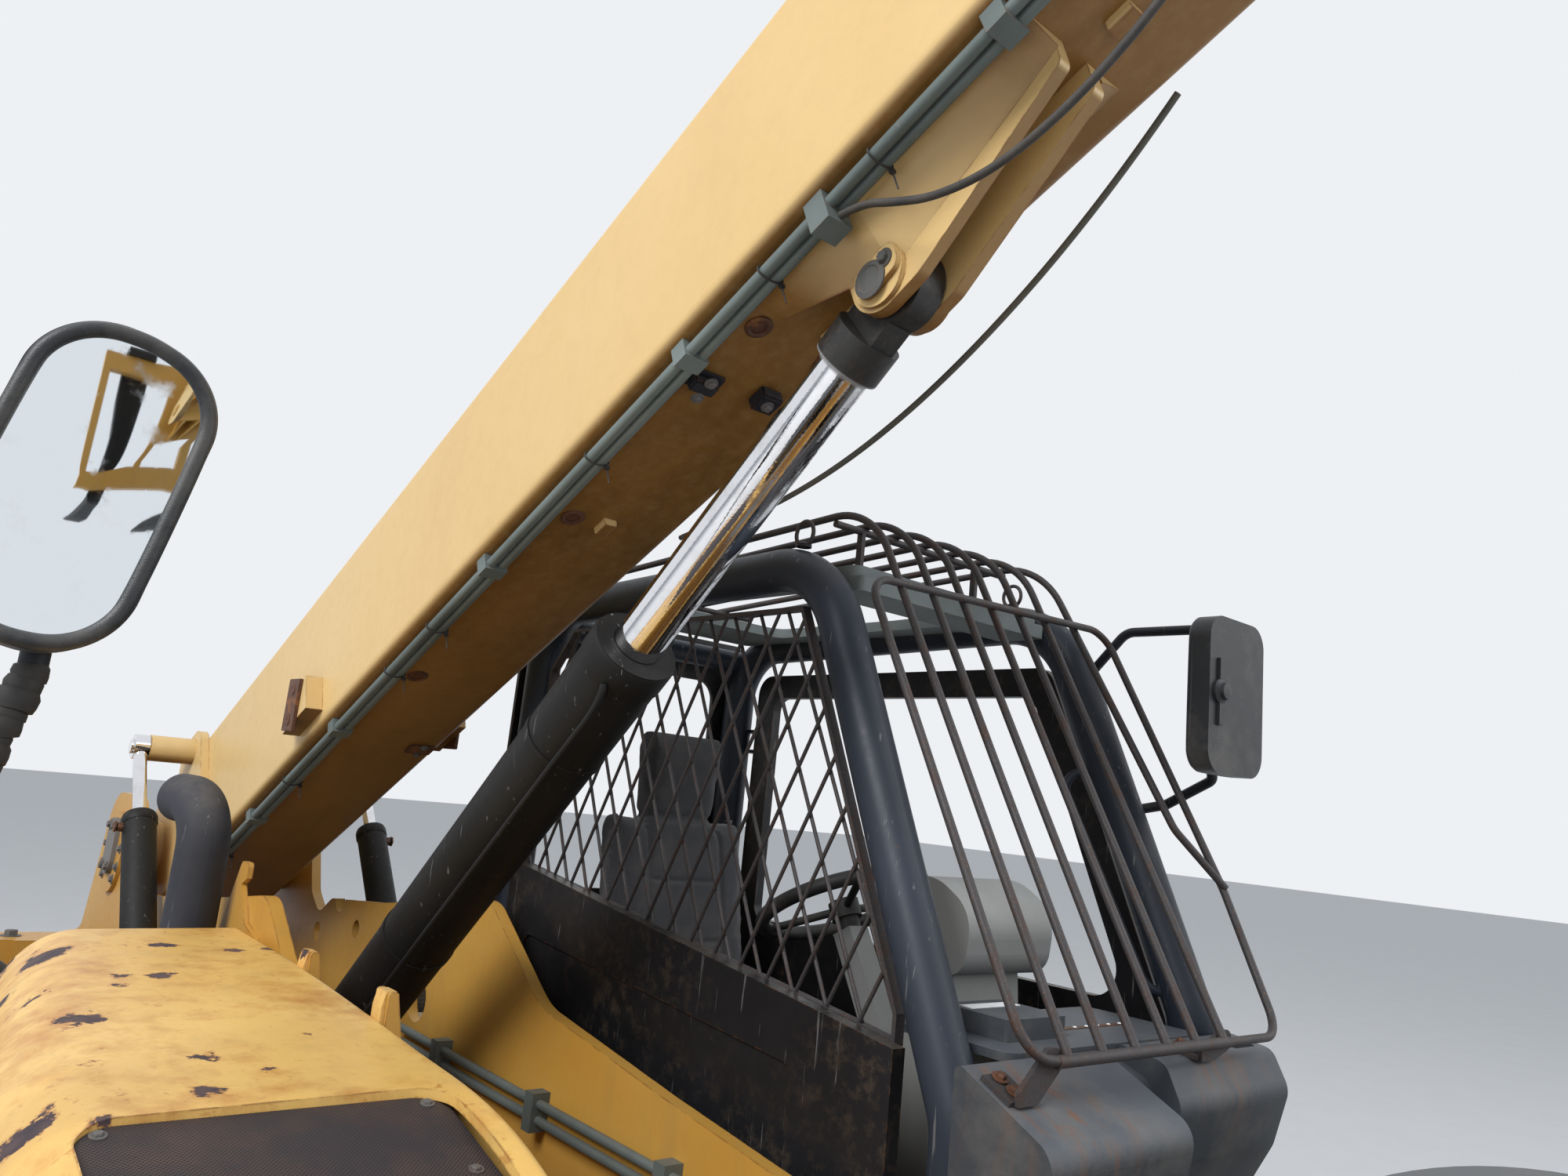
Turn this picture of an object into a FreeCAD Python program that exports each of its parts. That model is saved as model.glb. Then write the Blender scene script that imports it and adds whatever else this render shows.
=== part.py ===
import FreeCAD, Part
import math
import os

# Telehandler with a rear-pivoted three-section boom, cab on the left and engine pod on the right.
# Millimetres. X points forward, Y to the left, Z up, and Z is zero on the ground.
# While it is drawn, X is zero at the rear axle; the last step moves X to the middle of the length.

V = FreeCAD.Vector
doc = FreeCAD.newDocument("telehandler")
sheet = doc.addObject("Spreadsheet::Sheet", "sizes")

# Driving sizes, in groups: name and value.
SIZES = {
    # running gear
    "wheelbase": 3650, "half_track": 1050, "kingpin_reach": 800,
    "tyre_radius": 640, "tyre_width": 430, "tread_base": 598, "bead_radius": 318, "lug_count": 18,
    "rim_width": 330, "rim_wall": 18, "rim_lip": 340, "hub_radius": 150, "spindle_radius": 70,
    "bearing_gap": 0.3, "axle_tube": 80, "diff_radius": 140, "kingpin_radius": 35, "yoke_half": 165,
    "yoke_plate": 35, "yoke_gap": 4, "fender_gap": 160, "fender_plate": 30, "fender_angle": 40,
    "steer_cylinder_radius": 38, "steer_cylinder_back": 190,
    # frame
    "rail_inner": 255, "rail_plate": 30, "frame_rear": 800, "frame_front": 4200, "frame_bottom": 500,
    "saddle_height": 790, "cross_plate": 25, "belly_rear": 1250, "belly_front": 3150,
    "weight_rear": 1010, "weight_half": 1030, "weight_bottom": 560, "weight_top": 1180, "tow_bore": 19,
    # boom; the boom's own axes start at its pivot
    "pivot_back": 100, "pivot_height": 1571, "boom_angle": 25.2, "pivot_pin": 50, "pin_gap": 0.4,
    "outer_width": 340, "outer_height": 400, "outer_wall": 10, "outer_length": 5000,
    "mid_width": 292, "mid_height": 346, "mid_wall": 9, "mid_start": 350, "mid_end": 5230,
    "fly_width": 246, "fly_height": 292, "fly_wall": 8, "fly_start": 560, "fly_end": 5460,
    "head_half": 95, "head_plate": 25, "head_reach": 5900, "head_drop": 900, "head_pin": 35,
    # lift cylinder
    "lift_foot_x": 600, "lift_foot_z": 640, "lift_eye_along": 3368, "lift_eye_below": 310,
    "lift_barrel_radius": 83, "lift_rod_radius": 47, "lift_barrel_length": 2430, "lift_pin": 32,
    "lift_eye_radius": 62, "lift_eye_half": 24, "lift_foot_half": 88, "clevis_plate": 22, "clevis_gap": 4,
    # level cylinders
    "level_side": 345, "level_foot_x": 880, "level_foot_z": 1224, "level_ear_along": 463, "level_ear_up": 168,
    "level_barrel_radius": 45, "level_rod_radius": 19, "level_barrel_length": 670, "level_pin": 22,
    "level_eye_radius": 38, "level_eye_half": 20, "level_rod_inside": 380,
    # tilt cylinder and carriage
    "tilt_foot_along": 5330, "tilt_foot_up": 40, "tilt_ear_back": 60, "tilt_ear_up": 330,
    "tilt_barrel_radius": 45, "tilt_rod_radius": 24, "tilt_barrel_length": 675, "tilt_pin": 22,
    "tilt_eye_half": 32, "tilt_rod_inside": 431, "open_pin_gap": 0.3,
    "carriage_half": 620, "carriage_low": 480, "carriage_high": 300, "carriage_ahead": 150,
    "carriage_bar": 60, "fork_length": 1220, "fork_width": 125, "fork_thick": 50, "fork_spread": 420,
    # engine side
    "pod_inner": 300, "hood_outer": 930, "pod_outer": 1250, "pod_rear": 1449, "pod_front": 2850,
    "pod_bottom": 560, "pod_top": 1240, "pod_wall": 20, "side_box_top": 1190, "hood_front": 3080,
    "hood_wall": 14, "hood_hinge": 1562, "grille_rear": 2640, "grille_front": 3010, "grille_inner": 345, "grille_outer": 800,
    "exhaust_radius": 58, "exhaust_wall": 4,
    # cables under the boom
    "cable_left": 11, "cable_right": 12,
    # cab
    "cab_inner": 350, "cab_outer": 1150, "cab_rear": 1310, "cab_floor": 950, "cab_front": 2880,
    "cab_tube": 47, "cab_panel": 30, "roof_height": 2430, "sill_rear": 1730, "sill_front": 1582,
    "pillar_foot": 2960, "pillar_lean": 24.4,
    "base_bottom": 560, "guard_rod": 8, "guard_count": 7, "guard_pitch": 94.5, "guard_first": 446, "guard_foot_x": 3128, "guard_foot_z": 1602,
    "mesh_rod": 4, "mesh_pitch": 92,
}
for row, (name, number) in enumerate(SIZES.items(), start=1):
    sheet.set(f"A{row}", name)
    sheet.set(f"B{row}", str(number))
    sheet.setAlias(f"B{row}", name)
doc.recompute()


class Named:
    """The sheet's values, read back by name."""

    def __getattr__(self, name):
        return float(sheet.get(name))


d = Named()
BORE_SHARE = 0.82  # a cylinder's bore as a share of its outer radius
nodes = []
pockets = []


# Outlines

def rounded(points, closed=True):
    """Lines and arcs through the points; a point is (x, y) or (x, y, corner radius)."""
    corners = [V(p[0], p[1], 0) for p in points]
    radii = [p[2] if len(p) > 2 else 0 for p in points]
    count = len(corners)
    starts, ends, arcs = {}, {}, {}
    for i, corner in enumerate(corners):
        inside = closed or 0 < i < count - 1
        if radii[i] <= 0 or not inside:
            starts[i] = corner
            ends[i] = corner
            continue
        before = (corners[i - 1] - corner).normalize()
        after = (corners[(i + 1) % count] - corner).normalize()
        half = before.getAngle(after) / 2
        run = radii[i] / math.tan(half)
        bisector = (before + after).normalize()
        middle = corner + bisector * (radii[i] / math.sin(half) - radii[i])
        starts[i] = corner + before * run
        ends[i] = corner + after * run
        arcs[i] = Part.Arc(starts[i], middle, ends[i])
    edges = []
    last = count if closed else count - 1
    for i in range(count):
        if i in arcs:
            edges.append(arcs[i])
        if i < last:
            following = (i + 1) % count
            if (starts[following] - ends[i]).Length > 1e-6:
                edges.append(Part.LineSegment(ends[i], starts[following]))
    return edges


def circle(x, y, radius):
    return [Part.Circle(V(x, y, 0), V(0, 0, 1), radius)]


def box(x_low, x_high, y_low, y_high, radius=0):
    corners = [(x_low, y_low), (x_high, y_low), (x_high, y_high), (x_low, y_high)]
    return rounded([(x, y, radius) for x, y in corners])


class Piece:
    """A PartDesign body drawn on its own origin planes. Expressions give depths along the normal."""

    def __init__(self, label):
        self.body = doc.addObject("PartDesign::Body", label)
        self.body.Label = label
        self.body.AllowCompound = True
        self.steps = 0

    def datum(self, role):
        return next(f for f in self.body.Origin.OriginFeatures if f.Role == role)

    def sketch(self, plane, depth, loops):
        self.steps += 1
        drawing = self.body.newObject("Sketcher::SketchObject", f"{self.body.Label}_outline_{self.steps}")
        drawing.AttachmentSupport = (self.datum(plane + "_Plane"), [""])
        drawing.MapMode = "FlatFace"
        drawing.setExpression(".AttachmentOffset.Base.z", depth)
        for loop in loops:
            drawing.addGeometry(loop, False)
        drawing.Visibility = False
        return drawing

    def step(self, kind, word):
        self.steps += 1
        return self.body.newObject(kind, f"{self.body.Label}_{word}_{self.steps}")

    def pushed(self, kind, word, plane, low, high, loops):
        depth = f"-({high})" if plane == "XZ" else low
        drawing = self.sketch(plane, depth, loops)
        feature = self.step(kind, word)
        feature.Profile = drawing
        feature.setExpression("Length", f"({high}) - ({low})")
        self.body.Tip = feature
        return feature

    def add(self, plane, low, high, *loops):
        return self.pushed("PartDesign::Pad", "pad", plane, low, high, loops)

    def cut(self, plane, low, high, *loops):
        feature = self.pushed("PartDesign::Pocket", "pocket", plane, low, high, loops)
        feature.Reversed = True
        pockets.append(feature)
        return feature

    def turned(self, plane, *loops, remove=False):
        """The outline turned once about the plane's vertical axis."""
        drawing = self.sketch(plane, "0", loops)
        kind = "PartDesign::Groove" if remove else "PartDesign::Revolution"
        feature = self.step(kind, "turn")
        feature.Profile = drawing
        feature.ReferenceAxis = (drawing, ["V_Axis"])
        feature.Angle = 360
        self.body.Tip = feature
        return feature

    def around(self, features, axis, count):
        pattern = self.step("PartDesign::PolarPattern", "pattern")
        pattern.Originals = features
        pattern.Axis = (self.datum(axis + "_Axis"), [""])
        pattern.Angle = 360
        pattern.setExpression("Occurrences", count)
        self.body.Tip = pattern
        return pattern

    def mirrored(self, features, plane):
        mirror = self.step("PartDesign::Mirrored", "mirror")
        mirror.Originals = features
        mirror.MirrorPlane = (self.datum(plane + "_Plane"), [""])
        self.body.Tip = mirror
        return mirror

    def loft(self, sections, remove=False):
        """Sections are (expression for the depth along X, outline)."""
        drawings = [self.sketch("YZ", depth, [loop]) for depth, loop in sections]
        kind = "PartDesign::SubtractiveLoft" if remove else "PartDesign::AdditiveLoft"
        feature = self.step(kind, "loft")
        feature.Profile = drawings[0]
        feature.Sections = drawings[1:]
        feature.Ruled = True
        self.body.Tip = feature
        if remove:
            pockets.append(feature)
        return feature

    def done(self, x=0, y=0, z=0, turn=None):
        return placed(self.body, x, y, z, turn)


def placed(thing, x=0, y=0, z=0, turn=None):
    thing.Placement = FreeCAD.Placement(V(x, y, z), turn or FreeCAD.Rotation())
    nodes.append(thing)
    return thing


def shaped(label, shape, x=0, y=0, z=0, turn=None):
    """A sub-part whose shape is swept along bent runs."""
    thing = doc.addObject("Part::Feature", label)
    thing.Label = label
    thing.Shape = shape
    return placed(thing, x, y, z, turn)


def bent_path(points, bends):
    """Straight runs joined by an arc at each corner."""
    edges = []
    start = points[0]
    for before, corner, after, bend in zip(points, points[1:], points[2:], bends[1:]):
        back = (before - corner).normalize()
        ahead = (after - corner).normalize()
        half = back.getAngle(ahead) / 2
        run = bend / math.tan(half)
        middle = corner + (back + ahead).normalize() * (bend / math.sin(half) - bend)
        edges.append(Part.makeLine(start, corner + back * run))
        edges.append(Part.Arc(corner + back * run, middle, corner + ahead * run).toShape())
        start = corner + ahead * run
    edges.append(Part.makeLine(start, points[-1]))
    return Part.Wire(edges)


def tube(points, radius, bend=60):
    """A round bar along the points; a point is (x, y, z) or (x, y, z, bend radius)."""
    bends = [p[3] if len(p) > 3 else bend for p in points]
    points = [V(*p[:3]) for p in points]
    ring = Part.Wire(Part.makeCircle(radius, points[0], points[1] - points[0]))
    if len(points) == 2:
        return Part.makeCylinder(radius, (points[1] - points[0]).Length, points[0], points[1] - points[0])
    return bent_path(points, bends).makePipeShell([ring], True, False)


def joined(shapes):
    return shapes[0].fuse(shapes[1:])


# Places worked out from the sizes

pivot = V(-d.pivot_back, 0, d.pivot_height)
boom_turn = FreeCAD.Rotation(V(0, 1, 0), -d.boom_angle)


def boom_point(along, up):
    """A point given along and above the boom's centre line, in the machine's axes."""
    return pivot + boom_turn.multVec(V(along, 0, up))


def pointing(start, end):
    """The turn about Y that lays X along the line from start to end."""
    return FreeCAD.Rotation(V(1, 0, 0), end - start)


head_pivot = boom_point(d.head_reach, -d.head_drop)
lift_foot = V(d.lift_foot_x, 0, d.lift_foot_z)
lift_eye = boom_point(d.lift_eye_along, -d.outer_height / 2 - d.lift_eye_below + d.outer_height / 2)
level_foot = V(d.level_foot_x, 0, d.level_foot_z)
level_eye = boom_point(d.level_ear_along, d.level_ear_up)
tilt_foot = boom_point(d.tilt_foot_along, d.tilt_foot_up)
tilt_eye = head_pivot + V(-d.tilt_ear_back, 0, d.tilt_ear_up)
fork_tip = head_pivot.x + d.carriage_ahead + d.carriage_bar + d.fork_thick + d.fork_length
shift = (d.weight_rear - fork_tip) / 2


# Running gear

def make_tyre(label, x, side):
    piece = Piece(label)
    half = d.tyre_width / 2
    bead = d.bead_radius + d.bearing_gap
    seat = d.rim_width / 2 - d.rim_wall - d.bearing_gap
    flank = half - 10
    right = [(bead, seat), (d.rim_lip + d.bearing_gap, seat), (d.rim_lip + 60, flank, 40), (d.tread_base - 90, flank, 60), (d.tread_base, half - 50, 20)]
    left = [(x_, -y_, *rest) for x_, y_, *rest in reversed(right)]
    piece.turned("XY", rounded(right + left))
    lugs = []
    root = d.tread_base - 12
    lean = 48
    reach = 30 + lean
    crest = math.sqrt(d.tyre_radius ** 2 - reach ** 2)
    phase = FreeCAD.Rotation(V(0, 1, 0), -math.degrees(math.asin(reach / d.tyre_radius)))
    for hand, turn in ((1, 0), (-1, 180 / d.lug_count)):
        inner = 8 * hand
        outer = half * hand
        outline = [(-36, inner), (36, inner), (reach, outer), (lean - 30, outer)]
        lug = piece.add("XY", str(root), str(crest), rounded(outline))
        spin = FreeCAD.Rotation(V(0, 1, 0), turn)
        drawing = lug.Profile[0]
        drawing.setExpression(".AttachmentOffset.Base.z", None)
        drawing.AttachmentOffset = FreeCAD.Placement(spin.multVec(V(0, 0, root)), spin)
        lugs.append(lug)
    piece.around(lugs, "Y", "sizes.lug_count")
    piece.done(x, side * d.half_track, d.tyre_radius, FreeCAD.Rotation(V(0, 0, 1), 0 if side > 0 else 180) * phase)


def make_rim(label, x, side):
    piece = Piece(label)
    edge = d.rim_width / 2
    lip = edge - d.rim_wall
    barrel = d.bead_radius - d.rim_wall
    outline = [(0, 60), (d.spindle_radius + d.bearing_gap, 60), (d.spindle_radius + d.bearing_gap, -40),
               (d.hub_radius, -40), (d.hub_radius, 20, 20), (barrel, 60), (barrel, -edge),
               (d.rim_lip, -edge, 8), (d.rim_lip, -lip), (d.bead_radius, -lip), (d.bead_radius, lip),
               (d.rim_lip, lip), (d.rim_lip, edge, 8), (barrel, edge), (barrel, 80), (d.hub_radius, 42, 20),
               (d.hub_radius - 10, 120, 20), (0, 130)]
    piece.turned("XY", rounded(outline))
    bolt = piece.add("XZ", "30", "58", circle(d.hub_radius + 25, 0, 14))
    piece.around([bolt], "Y", "10")
    piece.done(x, side * d.half_track, d.tyre_radius, FreeCAD.Rotation(V(0, 0, 1), 0 if side > 0 else 180))


def make_knuckle(label, x, side, faces):
    piece = Piece(label)
    reach = d.yoke_half - d.yoke_plate - d.yoke_gap
    piece.add("XY", str(-reach), str(reach), circle(0, 0, 72))
    piece.add("XY", "-sizes.yoke_half - 6", "sizes.yoke_half + 6", circle(0, 0, d.kingpin_radius))
    spindle = d.half_track - d.kingpin_reach + 55
    piece.turned("XY", rounded([(0, 0), (95, 0), (110, 80), (130, 110), (130, 130), (d.spindle_radius, 140),
                                (d.spindle_radius, spindle), (0, spindle)]))
    ahead = -faces * side
    piece.add("XY", "-45", "-15", rounded([(-40 * ahead, -24), (-40 * ahead, 40), (170 * ahead, 38, 20),
                                           (202 * ahead, 7, 20), (170 * ahead, -24, 20)]))
    piece.cut("XY", "-45", "-15", circle(170 * ahead, 7, 12))
    piece.done(x, side * d.kingpin_reach, d.tyre_radius, FreeCAD.Rotation(V(0, 0, 1), 0 if side > 0 else 180))


def make_axle(label, x, faces):
    """A housing with its differential bowl, end yokes, saddle pads and steering cylinder."""
    piece = Piece(label)
    end = d.kingpin_reach - 105
    bowl = [(0, 0), (d.diff_radius, 0), (d.diff_radius, 110, 60), (d.axle_tube + 20, 230, 60),
            (d.axle_tube, 420, 60), (d.axle_tube, end), (0, end)]
    beam = piece.turned("XY", rounded(bowl))
    yoke = piece.add("XZ", "sizes.kingpin_reach - 125", "sizes.kingpin_reach - 80",
                     box(-60, 60, -d.yoke_half, d.yoke_half, 20))
    arms = []
    for low, high in (("sizes.yoke_half - sizes.yoke_plate", "sizes.yoke_half"),
                      ("-sizes.yoke_half", "-sizes.yoke_half + sizes.yoke_plate")):
        arm = [(-60, d.kingpin_reach - 110), (60, d.kingpin_reach - 110), (60, d.kingpin_reach + 58, 55),
               (-60, d.kingpin_reach + 58, 55)]
        plate = piece.add("XY", low, high, rounded(arm), circle(0, d.kingpin_reach, d.kingpin_radius + d.pin_gap))
        arms.append(plate)
    pad = piece.add("XY", "40", "sizes.saddle_height - sizes.tyre_radius",
                    box(-110, 110, d.rail_inner - 60, d.rail_inner + d.rail_plate + 15))
    back = -faces * d.steer_cylinder_back
    ram = piece.add("XZ", "0", "280", circle(back, 0, d.steer_cylinder_radius))
    rod = piece.add("XZ", "270", "520", circle(back, 0, 18))
    clamp = piece.add("XZ", "150", "190", box(min(back, 0), max(back, 0), -30, 30))
    piece.mirrored([beam, yoke, *arms, pad, ram, rod, clamp], "XZ")
    piece.done(x, 0, d.tyre_radius)


def make_fenders():
    inner = d.tyre_radius + d.fender_gap
    outer = inner + d.fender_plate
    parts = []
    for x in (0, d.wheelbase):
        for side in (-1, 1):
            low = d.half_track - d.tyre_width / 2
            ring = Part.makeCylinder(outer, d.tyre_width, V(x, low, d.tyre_radius), V(0, 1, 0))
            ring = ring.cut(Part.makeCylinder(inner, d.tyre_width, V(x, low, d.tyre_radius), V(0, 1, 0)))
            reach = outer * math.sin(math.radians(d.fender_angle))
            lowest = d.tyre_radius + inner * math.cos(math.radians(d.fender_angle))
            window = Part.makeBox(2 * reach, d.tyre_width, outer, V(x - reach, low, lowest))
            guard = ring.common(window)
            height = d.tyre_radius + inner - 18
            root = d.rail_inner + d.rail_plate
            arm = tube([(x, root, 1120), (x, root + 130, 1120), (x, low + 40, height + 24),
                        (x, low + 140, height + 24)], 22, 60)
            guard = guard.fuse(arm)
            if side < 0:
                guard = guard.mirror(V(0, 0, 0), V(0, 1, 0))
            parts.append(guard)
    shaped("fenders", Part.makeCompound(parts))


# Frame

def rail_outline():
    top = d.pivot_height + 190
    return [(-d.frame_rear, 800), (-d.frame_rear, 1150, 60), (-430, 1290, 60), (pivot.x - 190, top, 150),
            (pivot.x + 200, top, 150), (230, 1500, 60), (330, 1440, 60), (430, 1500, 60), (816, 1535),
            (1525, 1634, 120), (1841, 1438, 200), (2353, 1370), (2696, 1331), (3300, 1270, 100),
            (d.frame_front - 150, 1180, 60), (d.frame_front, 1000, 60), (d.frame_front, 600, 40),
            (d.wheelbase + 400, 600, 40), (d.wheelbase + 330, d.saddle_height, 40),
            (d.wheelbase - 350, d.saddle_height, 40), (d.wheelbase - 450, d.frame_bottom, 60),
            (450, d.frame_bottom, 60), (350, d.saddle_height, 40)]


def make_frame():
    piece = Piece("main_frame")
    inner = "sizes.rail_inner"
    outer = "sizes.rail_inner + sizes.rail_plate"
    holes = [circle(pivot.x, pivot.z, d.pivot_pin + d.pin_gap), circle(342, 1383, 30), circle(673, 1439, 26),
             circle(1180, 1330, 60)]
    rail = piece.add("XZ", inner, outer, rounded(rail_outline()), *holes)
    notch = piece.cut("XZ", inner, outer, circle(507, 1508, 42))
    doubler = piece.add("XZ", outer, f"{outer} + 12", circle(pivot.x, pivot.z, 130),
                        circle(pivot.x, pivot.z, d.pivot_pin + d.pin_gap))
    stop = piece.add("XZ", outer, f"{outer} + 12", rounded([(1240, 1500), (1345, 1690, 20), (1400, 1690, 12),
                     (1400, 1655), (1370, 1640), (1440, 1560), (1540, 1540, 20), (1540, 1500)]))
    pin = piece.add("XZ", outer, f"{outer} + 85", circle(d.level_foot_x, d.level_foot_z, d.level_pin))
    boss = piece.add("XZ", outer, "sizes.level_side - sizes.level_eye_half - 2",
                     circle(d.level_foot_x, d.level_foot_z, d.level_pin + 6))
    lug = piece.add("XZ", "sizes.lift_foot_half + sizes.clevis_gap", inner,
                    rounded([(d.lift_foot_x - 90, d.frame_bottom), (d.lift_foot_x - 60, d.lift_foot_z + 75, 60),
                             (d.lift_foot_x + 60, d.lift_foot_z + 75, 60), (d.lift_foot_x + 110, d.frame_bottom)]))
    hollow = piece.cut("XZ", "sizes.lift_foot_half + sizes.clevis_gap + sizes.clevis_plate", inner,
                       rounded([(d.lift_foot_x - 130, d.frame_bottom + 25), (d.lift_foot_x - 130, d.lift_foot_z + 90),
                                (d.lift_foot_x + 130, d.lift_foot_z + 90), (d.lift_foot_x + 130, d.frame_bottom + 25)]))
    foot_pin = piece.add("XZ", "sizes.lift_foot_half + sizes.open_pin_gap", "sizes.rail_inner",
                         circle(d.lift_foot_x, d.lift_foot_z, d.lift_pin))
    piece.mirrored([rail, notch, doubler, stop, pin, boss, lug, hollow, foot_pin], "XZ")
    for x in (1850, 2250):
        for low in (x - 9, x + 41):
            piece.add("YZ", f"{low}", f"{low} + 8",
                      rounded([(-262, 1330), (-284, 1330), (-297, 1500, 10), (-297, 1571, 6), (-281, 1571, 6), (-262, 1480)]))
        piece.add("YZ", f"{x} - 2", f"{x} + 42", circle(-290, d.hood_hinge, 5))
    half = d.rail_inner
    flat = [("sizes.frame_bottom", "sizes.frame_bottom + sizes.cross_plate", d.belly_rear, d.belly_front),
            ("sizes.saddle_height", "sizes.saddle_height + sizes.cross_plate", -260, 260),
            ("sizes.saddle_height", "sizes.saddle_height + sizes.cross_plate", d.wheelbase - 300, d.wheelbase + 300)]
    for low, high, rear, front in flat:
        piece.add("XY", low, high, box(rear, front, -half, half))
    upright = [("-sizes.frame_rear", "-sizes.frame_rear + sizes.cross_plate", 800, 1130),
               ("sizes.frame_front - sizes.cross_plate", "sizes.frame_front", 610, 1000),
               ("sizes.belly_rear", "sizes.belly_rear + sizes.cross_plate", d.frame_bottom, 555),
               ("260", "260 + sizes.cross_plate", d.saddle_height, 1180)]
    for low, high, bottom, top in upright:
        piece.add("YZ", low, high, box(-half, half, bottom, top))
    piece.done()


def make_counterweight():
    piece = Piece("counterweight")
    plan = [(-d.weight_rear, -d.weight_half + 160, 90), (-d.frame_rear - 20, -d.weight_half, 30),
            (-d.frame_rear - 20, -420), (-d.frame_rear, -420), (-d.frame_rear, 420), (-d.frame_rear - 20, 420),
            (-d.frame_rear - 20, d.weight_half, 30), (-d.weight_rear, d.weight_half - 160, 90)]
    piece.add("XY", "sizes.weight_bottom", "sizes.weight_top", rounded(plan))
    piece.cut("YZ", "-sizes.weight_rear", "-sizes.weight_rear + 120", box(-110, 110, 640, 780, 20))
    piece.cut("XY", "sizes.weight_bottom", "sizes.weight_top", circle(-d.weight_rear + 60, 0, d.tow_bore))
    piece.done()


def make_pivot_pin():
    piece = Piece("boom_pivot_pin")
    half = d.rail_inner + d.rail_plate + 12
    piece.add("XZ", str(-half), str(half), circle(0, 0, d.pivot_pin))
    for low in (half, -half - 14):
        piece.add("XZ", str(low), str(low + 14), rounded([(-60, -70, 50), (60, -70, 50), (60, 110, 50), (-60, 110, 50)]))
    piece.done(pivot.x, 0, pivot.z)


# Boom

def boom_section(label, width, height, wall, start, end, corner):
    """A rectangular tube in the boom's axes."""
    piece = Piece(label)
    outline = box(-width / 2, width / 2, -height / 2, height / 2, corner)
    hollow = box(-width / 2 + wall, width / 2 - wall, -height / 2 + wall, height / 2 - wall, corner - wall / 2)
    piece.add("YZ", start, end, outline, hollow)
    return piece


def make_boom_outer():
    piece = boom_section("boom_outer", d.outer_width, d.outer_height, d.outer_wall, "0", "sizes.outer_length", 22)
    side = d.outer_width / 2
    half = d.outer_height / 2
    cheek = piece.add("XZ", "sizes.outer_width / 2 - sizes.outer_wall", "sizes.outer_width / 2",
                      rounded([(60, -half + 22), (0, -half + 22), (-150, -90, 110), (-150, 90, 110), (0, half - 22),
                               (60, half - 22)]))
    boss = piece.add("XZ", "sizes.outer_width / 2", "sizes.rail_inner - 4", circle(0, 0, 105))
    ear = piece.add("XZ", "sizes.outer_width / 2", "sizes.outer_width / 2 + 25",
                    rounded([(d.level_ear_along - 200, 20), (d.level_ear_along - 110, d.level_ear_up + 58, 60),
                             (d.level_ear_along + 70, d.level_ear_up + 58, 60), (d.level_ear_along + 110, 20)]))
    ear_tube = piece.add("XZ", "sizes.outer_width / 2", "sizes.level_side - sizes.level_eye_half - 2",
                         circle(d.level_ear_along, d.level_ear_up, 40))
    eye_x = d.lift_eye_along
    eye_z = -d.lift_eye_below
    clevis = [(eye_x - 60, -half), (eye_x - 60, eye_z - 60, 58), (eye_x + 60, eye_z - 48, 58), (3700, -262),
              (3735, -250, 14), (3740, -half)]
    plate = piece.add("XZ", "sizes.lift_eye_half + sizes.clevis_gap",
                      "sizes.lift_eye_half + sizes.clevis_gap + sizes.clevis_plate", rounded(clevis))
    cheek_face = "sizes.lift_eye_half + sizes.clevis_gap + sizes.clevis_plate"
    collar = piece.add("XZ", cheek_face, f"{cheek_face} + 8", circle(eye_x, eye_z, 50))
    keeper = piece.add("XZ", f"{cheek_face} + 8", f"{cheek_face} + 17",
                       rounded([(eye_x - 38, eye_z - 34, 20), (eye_x + 48, eye_z - 20, 20),
                                (eye_x + 48, eye_z + 32, 20), (eye_x - 38, eye_z + 18, 20)]),
                       circle(eye_x - 18, eye_z - 8, 8))
    flanks = []
    for side in (-1, 1):
        near = side * (d.lift_eye_half + d.clevis_gap + d.clevis_plate)
        far = side * 108
        sections = [(str(place), rounded([(near, -half + 4), (near, -half - depth), (far, -half), (far, -half + 4)]))
                    for place, depth in ((3150, 14), (3395, 118), (3740, 26))]
        flanks.append(sections)
    pad = piece.add("XZ", "sizes.outer_width / 2", "sizes.outer_width / 2 + 42",
                    rounded([(1340, -165), (1500, -165), (1500, -75), (1340, -75)]))
    lift_pin = piece.add("XZ", "0", "sizes.lift_eye_half + sizes.clevis_gap + 2", circle(d.lift_eye_along, -d.lift_eye_below, d.lift_pin))
    level_pin = piece.add("XZ", "sizes.outer_width / 2", "sizes.level_side - sizes.level_eye_half - sizes.open_pin_gap",
                          circle(d.level_ear_along, d.level_ear_up, d.level_pin))
    piece.mirrored([cheek, boss, ear, ear_tube, plate, collar, keeper, pad, lift_pin, level_pin], "XZ")
    for sections in flanks:
        piece.loft(sections)
    for low in (2500, 3790):
        piece.add("YZ", str(low), str(low + 40), box(side - 2, side + 27, -216, -184, 6))
    piece.add("YZ", "4200", "4240", box(-105, -80, -226, -half + 2, 5))
    piece.add("YZ", "sizes.outer_length - 160", "sizes.outer_length",
              box(-side - 14, side + 14, -half - 14, half + 14, 30), box(-side + 2, side - 2, -half + 2, half - 2, 20))
    piece.cut("XZ", "-sizes.rail_inner", "sizes.rail_inner", circle(0, 0, d.pivot_pin + d.pin_gap))
    piece.done(pivot.x, 0, pivot.z, boom_turn)


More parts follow.
